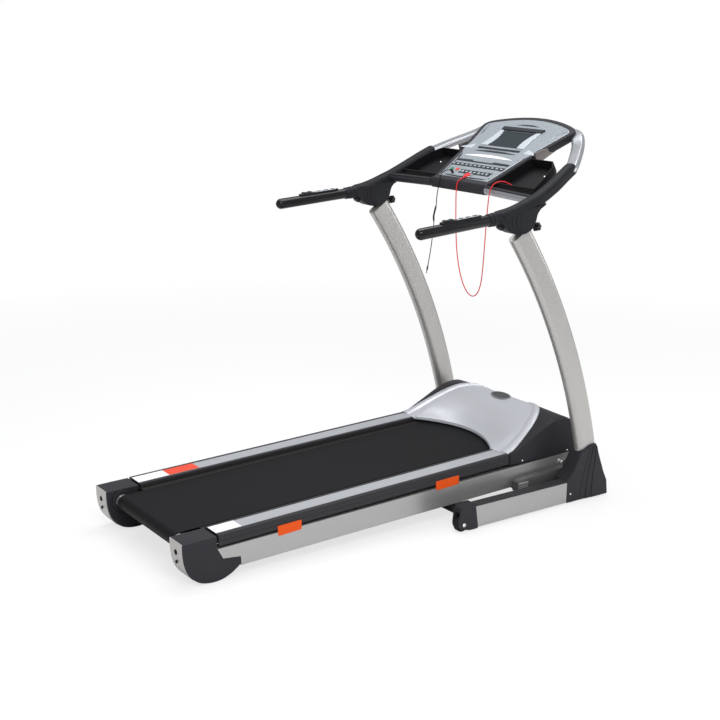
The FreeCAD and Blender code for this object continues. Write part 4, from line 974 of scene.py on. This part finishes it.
def wheel_bracket(name, side):
    """A slanted end plate each side of the transport wheel, joined above it."""
    outline = rounded([(-737, 92), (-722, 103), (-668, 103), (-652, 3), (-692, 3), (-740, 16),
                       (-744, 34)], 9, 4)
    plates = []
    for start in (BASE_HALF - 39.8, BASE_HALF - 5.6):
        low, high = sorted((side * start, side * (start + 5.8)))
        plates.append(prism("plate", FRONT, "XZ", outline, low, high, 1.6))
    low, high = sorted((side * (BASE_HALF - 36), side * (BASE_HALF - 4)))
    plates.append(prism("bridge", FRONT, "XZ", [(-735, 74), (-736, 91), (-722, 101.5), (-671, 101.5),
                                                (-656, 6), (-684, 6), (-684, 74)], low, high, 2))
    placed(merged(f"wheel_bracket_{name}", plates), CHARCOAL, "base", "black_plastic",
           "wheel_brackets")


def transport_wheel(name, side):
    """A moulded wheel: a round-shouldered tyre on a dished centre."""
    middle = side * (BASE_HALF - 20)
    tyre = [(-12, 14), (-12, 22), (-11, 26), (-8, 27.7), (8, 27.7), (11, 26), (12, 22), (12, 14),
            (9, 12.5), (9, 8.6), (11.5, 8.4), (11.5, 6.1), (-11.5, 6.1), (-11.5, 8.4), (-9, 8.6),
            (-9, 12.5), (-12, 14)]
    wheel = lathe(f"wheel_{name}", FRONT, tyre, (-719, middle, 28), (0, 1, 0), 56, caps=False)
    placed(wheel, RUBBER, f"transport_wheel_{name}", "wheel_rubber", f"transport_wheel_{name}")
    rim = lathe(f"wheel_ring_{name}", FRONT, [(-12.4, 15), (-12.4, 19.5), (12.4, 19.5), (12.4, 15),
                                              (-12.4, 15)],
                (-719, middle, 28), (0, 1, 0), 56, caps=False)
    placed(rim, LINK_STEEL, f"transport_wheel_{name}", "roller_steel")


def boot(name, side):
    """The moulded foot cover, with three flutes stepping forwards over its outer face."""
    outline = [(-1, 4), (-8, 62), (-28, 101), (-58, 176), (-70, 220), (-100, 216), (-124, 205),
               (-148, 198), (-166, 160), (-184, 127), (-204, 102), (-217, 96), (-217, 4)]
    inner, outer = BASE_HALF - 66, BASE_HALF - 1
    low, high = sorted((side * inner, side * outer))
    layers = [prism("core", FRONT, "XZ", rounded(outline, 10, 4), low, high, 4.5, 3)]
    flutes = ([(-172, 6), (-166, 70), (-148, 128), (-131, 168), (-117, 203)],
              [(-146, 6), (-141, 72), (-127, 129), (-114, 170), (-104, 206)],
              [(-119, 6), (-115, 74), (-105, 130), (-96, 172), (-90, 208)],
              [(-91, 6), (-88, 74), (-82, 130), (-78, 172), (-75, 208)])
    front_edge = [(-74, 212), (-62, 176), (-32, 101), (-12, 62), (-5, 6)]
    for index, flute in enumerate(flutes):
        face = outer - 3.5 + 2.5 * (index + 1)
        low, high = sorted((side * (face - 4), side * face))
        shape = [tuple(point) for point in flowing(flute, 5)] + front_edge
        layers.append(prism("flute", FRONT, "XZ", shape, low, high, 1.0, 2, angle=50))
    placed(merged(f"boot_{name}_cover", layers), CHARCOAL, "base", "black_plastic",
           f"boot_{name}")


def upright(name, side):
    """A flat oval tube in one long backward arc."""
    middle = side * (BASE_HALF - 32)
    foot, waist, top = (-82, middle, 100), (-242, middle, 620), (-490, middle, UPRIGHT_TOP)
    line = arc_through(foot, waist, top, 72)
    start = (line[1] - line[0]).normalized()
    line = [line[0] - start * ((line[0].z - 26) / start.z)] + line
    tube = loft(f"upright_{name}_tube", FRONT,
                sweep_rings(line, oval(92, 42, 12), (0, 1, 0)), shade=50)
    placed(tube, SILVER, "base", "silver_paint", f"upright_{name}")


# ---------------------------------------------------------------- handlebar

def grip_frame(side):
    """The frame at a grip's rounded end: X runs forwards along it and Z stands on its pod."""
    rear = Vector((-927 + 20, side * (BASE_HALF - 16), 1092))
    front = Vector((-603, side * HUB_MIDDLE, UPRIGHT_TOP + 60))
    along = (front - rear).normalized()
    turn = Vector((1, 0, 0)).rotation_difference(along).to_matrix().to_4x4()
    return FRONT @ Matrix.Translation(rear) @ turn, (front - rear).length


def grip(name, side):
    """The glossy rounded grip, its collar, control pod, rocker and light strip."""
    place, run = grip_frame(side)
    tail = -28
    dome = [(tail - 20 * math.cos(a), 20 * math.sin(a))
            for a in (math.pi / 16 * k for k in range(8))]
    body = lathe("bar", place, [(dome[0][0], 0), *dome[1:], (tail, 20), (70, 19.8), (200, 19.2),
                                (run - 34, 19.5), (run - 33, 0)],
                 (0, 0, 0), (1, 0, 0), 56)
    pod = pod_shape("pod", place, 56, 232, 11, 12, 25)
    placed(merged(f"grip_{name}_bar", [body, pod]), GRIP_BLACK, "base", "soft_foam",
           f"grip_{name}")
    collar = lathe(f"grip_collar_{name}", place, [
        (run - 42, 17), (run - 42, 21), (run - 40, 22.5), (run - 30, 22.8), (run - 29, 21.6),
        (run - 26, 21.6), (run - 25, 23.4), (run - 12, 23.8), (run - 11, 22.4), (run - 8, 22.4),
        (run - 7, 24), (run + 12, 24.5), (run + 12, 0)], (0, 0, 0), (1, 0, 0), 56)
    placed(collar, HUB_BLACK, "base", "black_plastic")
    strip = pod_shape(f"pod_strip_{name}", place, 128, 222, 7, 22, 26.2)
    placed(strip, CHEEK, "base", "silver_plastic")
    keys = []
    for index in range(3):
        keys.append(pod_shape("key", place, 134 + 31 * index, 155 + 31 * index, 5, 25, 27.2))
    placed(merged(f"pod_keys_{name}", keys), PANEL_DARK, "base", "key_rubber")
    rock = [(68, 26.6), (70, 29.4), (78, 30.4), (90, 28.4), (102, 30.4), (110, 29.4), (112, 26.6)]
    outline = [tuple(point) for point in flowing(rock, 4)]
    rocker = prism(f"rocker_{name}_cap", place, "XZ", outline, -8.5, 8.5, 1.2, 2, angle=50)
    placed(rocker, PANEL_DARK, f"rocker_{name}", "key_rubber", f"rocker_{name}")


def pod_shape(name, place, start, end, half, low, high):
    """A low pad with round ends and softened top edges."""
    outline = rounded([(start, -half), (end, -half), (end, half), (start, half)], half, 6)
    return prism(name, place, "XY", outline, low, high, min(1.6, (high - low) * 0.3), 3, angle=50)


def hub(name, side):
    """The joint cover over the upright's head, with ribs that follow its round lower edge."""
    top = UPRIGHT_TOP
    outline = [(-598, top + 84), (-603, top + 50), (-588, top + 36), (-572, top + 22),
               (-550, top + 8), (-520, top + 0.5), (-490, top + 1), (-466, top + 10),
               (-449, top + 25), (-440, top + 45), (-436, top + 65), (-427, top + 81),
               (-404, top + 93), (-394, top + 100), (-404, top + 107), (-440, top + 101),
               (-500, top + 90), (-560, top + 84)]
    half = 30
    middle = side * HUB_MIDDLE
    pieces = [prism("hub_body", FRONT, "XZ", rounded(outline, 14, 4), middle - half + 5,
                    middle + half - 5, 7, 4, angle=40)]
    front_edge = [(-500, top + 5), (-470, top + 13), (-455, top + 29), (-446, top + 48),
                  (-441, top + 68), (-426, top + 86), (-410, top + 97), (-440, top + 95)]
    for index in range(4):
        shift = 17 * index
        edge = [(-553 + shift, top + 81), (-568 + shift, top + 68), (-573 + shift, top + 50),
                (-563 + shift * 0.9, top + 27), (-537 + shift * 0.7, top + 8)]
        shape = [tuple(point) for point in flowing(edge, 5)] + front_edge
        reach = half - 4 + 1.5 * min(index, 2) + 0.8 * (index == 3)
        pieces.append(prism("hub_shell", FRONT, "XZ", shape, middle - reach, middle + reach, 1.0,
                            2, angle=50))
    pieces.append(lathe("hub_cup", FRONT, [(0, 12), (14, 14), (25, 14), (27, 12), (27, 0)],
                        (-574, middle, top + 46), (-0.62, 0, -0.78), 32))
    placed(merged(f"hub_{name}_cover", pieces), HUB_BLACK, "base", "black_plastic",
           f"handle_hub_{name}")


def knob(name, side):
    """A six-lobed hand knob with a dished face."""
    high = UPRIGHT_TOP + 19

    def ripple(turn, reach):
        return 1 + (0.11 * math.cos(6 * turn) if reach > 18 else 0)

    profile = [(-2, 0), (-2, 4.8), (14, 4.8), (15, 7), (19, 8), (20, 12), (22, 14.4), (26, 15),
               (37, 14.6), (41, 12.4), (42, 9), (40.5, 6), (40.5, 0)]
    shape = lathe(f"knob_{name}", FRONT, profile, (-446, side * HUB_MIDDLE, high), (1, 0, 0), 72,
                  ripple)
    placed(shape, GRIP_BLACK, f"clamp_knob_{name}", "black_plastic", f"clamp_knob_{name}")


def arm(name, side):
    """The foam sleeve up from the hub and the bare oval loop on to the console."""
    top = UPRIGHT_TOP
    sleeve_line = [(-598, side * (BASE_HALF - 21), top + 64), (-550, side * (BASE_HALF - 20), top + 72),
                   (-500, side * (BASE_HALF - 20), top + 86), (-455, side * (BASE_HALF - 20), top + 102),
                   (-412, side * (BASE_HALF - 21), top + 118), (-338, side * (BASE_HALF - 30), top + 154),
                   (-285, side * (BASE_HALF - 41), top + 183), (-230, side * (BASE_HALF - 53), top + 211)]
    lower = flowing(sleeve_line, 8)
    bends = [(-160, side * (BASE_HALF - 105), top + 248), (-106, side * (BASE_HALF - 152), top + 276),
             (-73, side * (BASE_HALF - 190), top + 300), (-54, side * (BASE_HALF - 226), top + 310),
             (-46, side * (BASE_HALF - 262), top + 313)]
    def soft(share):
        edge = min(share / 0.03, (1 - share) / 0.025, 1)
        return 0.86 + 0.14 * math.sin(edge * math.pi / 2)

    sleeve = loft(f"sleeve_{name}", FRONT,
                  sweep_rings(lower, oval(53, 46, 12), PANEL_NORMAL, soft), shade=50)
    placed(sleeve, FOAM, "base", "soft_foam", "arm_sleeves")
    upper = flowing([lower[-5], lower[-1], *bends], 10)
    tube = loft(f"loop_{name}", FRONT, sweep_rings(upper, oval(50, 25, 12), PANEL_NORMAL),
                shade=50)
    placed(tube, LOOP_SILVER, "base", "silver_paint", "handlebar_loops")


def crossbar(name, side):
    """A bar from the console's lower corner to the hub, under a thin dark cap strip. Both bars are dark;
    the right one is painted silver under its dark strip as a painted reflection, a bright band below a
    dark top.
    """
    inner = Vector((-418, side * 159, 1172))
    outer = Vector((-427, side * (HUB_MIDDLE - 17), 1166))
    ends = [inner.lerp(outer, share) for share in (0, 0.25, 0.5, 0.75, 1)]
    tube = loft(f"crossbar_{name}_tube", FRONT, sweep_rings(ends, oval(31.6, 31.4, 14), (0, 0, 1)),
                shade=50)
    # Painted reflection: the right bar takes silver for the bright band it reflects, the left bar keeps
    # the dark colour both bars have.
    finish = LOOP_SILVER if side < 0 else CHARCOAL
    placed(tube, finish, "base", "silver_paint", "crossbars")
    # The dark cap strip along the top; over the right bar's silver it makes the dark top of the painted
    # reflection.
    line = [spot + Vector((-1, 0, 12.5)) for spot in ends]
    cap = loft(f"crossbar_{name}_cap", FRONT, sweep_rings(line, oval(26, 7, 6), (0, 0, 1)),
               shade=50)
    placed(cap, CHARCOAL, "base", "black_plastic")


def handle_pieces():
    for name, side in SIDES:
        grip(name, side)
        hub(name, side)
        knob(name, side)
        arm(name, side)
        crossbar(name, side)


# ---------------------------------------------------------------- console

def panel_edge():
    """Half of the panel's outline from its lower middle round to its top."""
    top = [(454 - 0.00085 * y * y, y) for y in range(212, -1, -20)]
    return [(0, 0), (0, 148), (6, 158)] + [(95, 177), (184, 196), (280, 226), (362, 252),
                                           (380, 254), (396, 246), (408, 230)] + top


def panel_ring(inset):
    """The whole outline, set in by a distance."""
    half = panel_edge()
    whole = half + [(x, -y) for x, y in reversed(half[1:-1])]
    count = len(whole)
    result = []
    for k in range(count):
        before, here, after = (Vector(whole[k - 1]), Vector(whole[k]), Vector(whole[(k + 1) % count]))
        first = (here - before).normalized()
        second = (after - here).normalized()
        lean = first + second
        normal = Vector((lean.y, -lean.x)).normalized()
        scale = 1 / max(0.5, normal.dot(Vector((first.y, -first.x))))
        result.append(here + normal * inset * scale)
    return result


def ring_at(inset, rise):
    return [(x, y, rise) for x, y in panel_ring(inset)]


def console_tub():
    levels = [(26, -36), (14, -35), (5, -30), (1, -20), (0, -8), (0.4, -4), (1.6, -1.4), (4, 0),
              (17, 0), (19.5, -0.8), (20.5, -3.8)]
    tub = loft("tub", CONSOLE, [ring_at(inset, rise) for inset, rise in levels], shade=50)
    chin_line = [(-421, 1193), (-424.6, 1188), (-426, 1172), (-425, 1156), (-422, 1154),
                 (-404, 1154), (-384, 1170), (-396, 1192), (-408, 1198)]
    chin = prism("chin", FRONT, "XZ", chin_line, -158, 158, 2.2, 3, angle=40)
    placed(merged("console_tub", [tub, chin]), CHARCOAL, "base", "black_plastic", "console_shell")
    # A lighter steel strip on each side edge of the chin is a painted highlight on its chamfered corner;
    # the chin is charcoal there.
    for name, side in SIDES:
        low, high = sorted((side * 154.5, side * 158.6))
        highlight_strip = prism(f"chin_edge_{name}", FRONT, "XZ",
                     [(-426.4, 1172), (-425.4, 1156), (-421, 1155), (-418, 1192), (-424.6, 1188)],
                     low, high, 0.8)
        placed(highlight_strip, LINK_STEEL, "base", "black_plastic")


def patch(name, outline, low, high, finish, slot="silver_plastic", soften=2.0, bevel=0.6):
    """A raised or sunk area on the panel, in the console's plane."""
    shape = prism(name, CONSOLE, "XY", rounded(outline, soften, 3) if soften else outline, low,
                  high, bevel, 2, angle=50)
    return placed(shape, finish, "base", slot)


def bar(up, half, deep, lean=0.0):
    """A bar across the panel whose ends lean with the panel's sides."""
    return [(up - deep / 2, -half + lean), (up + deep / 2, -half - lean),
            (up + deep / 2, half + lean), (up - deep / 2, half - lean)]


def bow(up, half, deep, sag):
    """A crescent across the panel."""
    steps = 16
    lower = [(up - deep / 2 * (1 - (k / steps) ** 2) - sag * (k / steps) ** 2, half * k / steps)
             for k in range(-steps, steps + 1)]
    upper = [(up + deep / 2 * (1 - (k / steps) ** 2) - sag * (k / steps) ** 2, half * k / steps)
             for k in range(steps - 1, -steps, -1)]
    return lower + upper


SCREEN_LOW, SCREEN_TOP, SCREEN_HALF = 238, 342, 84


def screen_side(side, inset=0.0, steps=10):
    """The display's curved side, from its lower to its upper corner."""
    return [(SCREEN_LOW + inset + (SCREEN_TOP - SCREEN_LOW - 2 * inset) * k / steps,
             side * (SCREEN_HALF - inset + 3 - 11 * math.sin(math.pi * k / steps)
                     + 8 * (k / steps - 0.5)))
            for k in range(steps + 1)]


def console_plate():
    face = loft("face_plate", CONSOLE, [ring_at(19, -4), ring_at(20, -1.2), ring_at(20.8, -0.6),
                                        ring_at(22, -0.4), ring_at(40, -0.1)], shade=50)
    placed(face, PANEL, "base", "silver_plastic", "console_face")
    inner = [(28, -126), (150, -150), (200, -186), (300, -196), (386, -176), (420, -110),
             (432, 0), (420, 110), (386, 176), (300, 196), (200, 186), (150, 150), (28, 126)]
    smooth = [tuple(point) for point in flowing(inner, 5)]
    patch("face_middle", smooth, -1, 0.9, PANEL, soften=0, bevel=0.8)
    glass = screen_side(1) + screen_side(-1)[::-1]
    placed(prism("display_glass", CONSOLE, "XY", glass, -3, 2.0, 0.5), SCREEN, "base",
           "screen_glass", "display_screen")
    cheeks = []
    for side in (1, -1):
        outer = [(SCREEN_TOP + 3, side * 112), (290, side * 112), (SCREEN_LOW - 2, side * 121)]
        outline = screen_side(side, -1.5) + outer
        cheeks.append(prism("cheek", CONSOLE, "XY", outline, 0, 4.2, 1.0, 2))
    placed(merged("display_cheeks", cheeks), CHEEK, "base", "silver_plastic", "display_frame")
    patch("visor_bar", bar(357, 114, 22, 3), 0, 6.6, PANEL_DARK, "black_plastic", 4, 1.6)
    patch("visor_slot", bow(392, 66, 9, 5), 0, 1.6, PANEL_DARK, "black_plastic", 0, 0.3)
    patch("lower_bar_upper", bar(219, 118, 9, 1), 0, 3.6, PANEL_DARK, "black_plastic", 2)
    patch("lower_bar_lower", bow(201, 118, 11, 4), 0, 2.4, PANEL_DARK, "black_plastic", 0)
    for name, side in SIDES:
        patch(f"speaker_fin_{name}", [(208, side * 150), (238, side * 150), (212, side * 216),
                                      (207, side * 214)], 0, 2.2, CHEEK)
        patch(f"fin_shade_{name}", [(205, side * 142), (226, side * 130), (240, side * 134),
                                    (236, side * 147), (207, side * 148)], 0, 1.5, PANEL)
    # A painted highlight: a near-white crescent laid on the silver panel where light falls across it.
    patch("white_crescent", bow(168, 142, 15, 8), 0, 2.4, PANEL_HIGHLIGHT_WHITE, soften=0)
    patch("row_shade", [(121, -146), (134, -150), (136, -60), (129, -56), (129, 56), (136, 60),
                        (134, 150), (121, 146)], 0, 1.7, PANEL_DARK, "black_plastic", 1.5)
    patch("key_bed_upper", bar(100, 149, 20, 2), 0, 1.2, PANEL_DARK, "black_plastic", 3)
    patch("key_bed_lower", bar(58, 60, 24, 2), 0, 1.2, PANEL_DARK, "black_plastic", 3)
    patch("key_bed_right", [(46, -118), (70, -122), (70, -60), (46, -60)], 0, 1.15, PANEL_DARK,
          "black_plastic", 3)
    patch("ledge_line", bow(25, 118, 5, -4), 0, 1.8, PANEL_DARK, "black_plastic", 0, 0.3)
    patch("key_dock", [(24, -36), (48, -36), (54, -10), (48, 16), (24, 16)], 0, 1.6, LINK_STEEL,
          soften=6)


def key_cap(name, place, radius_x, radius_y, rise, finish, body, slot, *nodes):
    up, across = place
    outline = rounded([(up - radius_x, across - radius_y), (up + radius_x, across - radius_y),
                       (up + radius_x, across + radius_y), (up - radius_x, across + radius_y)],
                      min(radius_x, radius_y), 5)
    cap = prism(name, CONSOLE, "XY", outline, -3, rise, 1.0, 3, angle=50)
    return placed(cap, finish, body, slot, *nodes)


def console_keys():
    """The start and stop buttons, the four hard keys and the two printed-free key rows."""
    key_cap("start_cap", (66, 112), 8.5, 8.5, 3, GREEN, "start_button", "green_plastic",
            "start_button")
    key_cap("stop_cap", (66, 80), 8.5, 8.5, 3, STOP_RED, "stop_button", "red_plastic",
            "stop_button")
    for index, label in enumerate(("speed_down", "speed_up", "incline_down", "incline_up")):
        key_cap(f"{label}_cap", (58, 40 - 46 * index), 5.6, 5.8, 3, KEY_LIGHT, f"{label}_key",
                "key_rubber", f"{label}_key")
    small = prism("key_model", PLAIN, "XY",
                  rounded([(-3.4, -6.4), (3.4, -6.4), (3.4, 6.4), (-3.4, 6.4)], 2.4, 4), 0, 2.0,
                  0.8, 2)
    tilt = (0, -math.radians(CONSOLE_TILT), 0)
    upper = [panel_point(100, 137 - 274 * k / 11, 1.0) for k in range(12)]
    row = set_out("quick_keys", small, upper, tilt, KEY_LIGHT, "base", "key_rubber")
    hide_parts("quick_key_strip")
    lower = [panel_point(58, across, 1.0) for across in (17, -29, -75)]
    lower += [panel_point(58, across, 1.0) for across in (55,)]
    set_out("lower_keys", small, lower, tilt, KEY_LIGHT, "base", "key_rubber")
    bpy.data.objects.remove(small)


def pull_key():
    """The red round key with a steel ring at its rim."""
    up, across = SAFETY_UP, SAFETY_ACROSS
    disc = lathe("disc", CONSOLE, [(0.2, 0), (0.2, 12.4), (1.2, 13), (4.6, 13), (6.4, 11.4),
                                   (7, 8), (6.2, 0)], (up, across, 0), (0, 0, 1), 48)
    tab = prism("tab", CONSOLE, "XY", rounded([(up - 17, across - 4.8), (up - 6, across - 6.5),
                                               (up - 6, across + 6.5), (up - 17, across + 4.8)],
                                              2.5), 0.4, 6.6, 1.4, 3)
    placed(merged("pull_key", [disc, tab]), KEY_RED, "safety_key", "red_plastic", "safety_key")
    ring = [(up + 2 + 14.5 * math.cos(a), across - 10 + 10 * math.sin(a), 3.2)
            for a in (2 * math.pi * k / 32 for k in range(33))]
    loop = cord_skin("key_ring", [CONSOLE @ Vector(point) for point in ring], 0.9, 8)
    placed(loop, BRIGHT_STEEL, "safety_key", "roller_steel")


def trays():
    """The black wells beside the console, each with a standing wall round its far end."""
    eased("side_trays", WELL_BLACK, "base", "black_plastic", 1.2)
    for name, side in SIDES:
        stay = prism(f"console_stay_{name}", CONSOLE, "XZ",
                     [(196, -30), (206, 14), (300, -12), (300, -34)],
                     *sorted((side * 212, side * 222)), 2)
        placed(stay, STAY, "base", "grey_steel")


def console_pieces():
    console_tub()
    console_plate()
    console_keys()
    pull_key()
    trays()


# ---------------------------------------------------------------- fasteners

def screw_model(radius, high):
    """A pan-head screw, standing on its seat along Z."""
    steps = 28
    rings = []
    for share in (0, 0.3, 0.55, 0.8, 0.95):
        turn = share * math.pi / 2
        rings.append([(radius * math.cos(turn) * math.cos(a), radius * math.cos(turn) * math.sin(a),
                       high * math.sin(turn)) for a in (2 * math.pi * k / steps
                                                        for k in range(steps))])
    head = loft("screw_head", PLAIN, rings, shade=40)
    return head


def fasteners():
    """Bright screws on the skirts, boots, brackets and tray, all copies of two models."""
    small, large = screw_model(4.2, 2.2), screw_model(7.5, 4)
    outward = {1: (-math.pi / 2, 0, 0), -1: (math.pi / 2, 0, 0)}
    for name, side in SIDES:
        skirt = [from_front(1780 - 1438, side * (DECK_HALF + 0.2), 166),
                 from_front(110, side * (DECK_HALF + 0.2), 166)]
        set_out(f"skirt_screws_{name}", small, skirt, outward[side], BRIGHT_STEEL, "deck",
                "roller_steel")
        boots = [from_front(196, side * (BASE_HALF - 1), 39)]
        set_out(f"boot_screws_{name}", small, boots, outward[side], BRIGHT_STEEL, "base",
                "roller_steel")
        axle = [from_front(719, side * (BASE_HALF + 0.1), 28)]
        set_out(f"axle_bolts_{name}", large, axle, outward[side], BRIGHT_STEEL, "base",
                "roller_steel")
        pivot = [from_front(379, side * (DECK_HALF + 44.5), 84)]
        set_out(f"pivot_bolts_{name}", large, pivot, outward[side], BRIGHT_STEEL, "lift_frame",
                "roller_steel")
    well = [panel_point(150, side * 300, -41.5) for side in (1, -1)]
    set_out("tray_screws", small, well, (0, -math.radians(CONSOLE_TILT), 0), BRIGHT_STEEL,
            "base", "roller_steel")
    bpy.data.objects.remove(small)
    bpy.data.objects.remove(large)


deck_pieces()
hood_pieces()
base_pieces()
handle_pieces()
console_pieces()
fasteners()
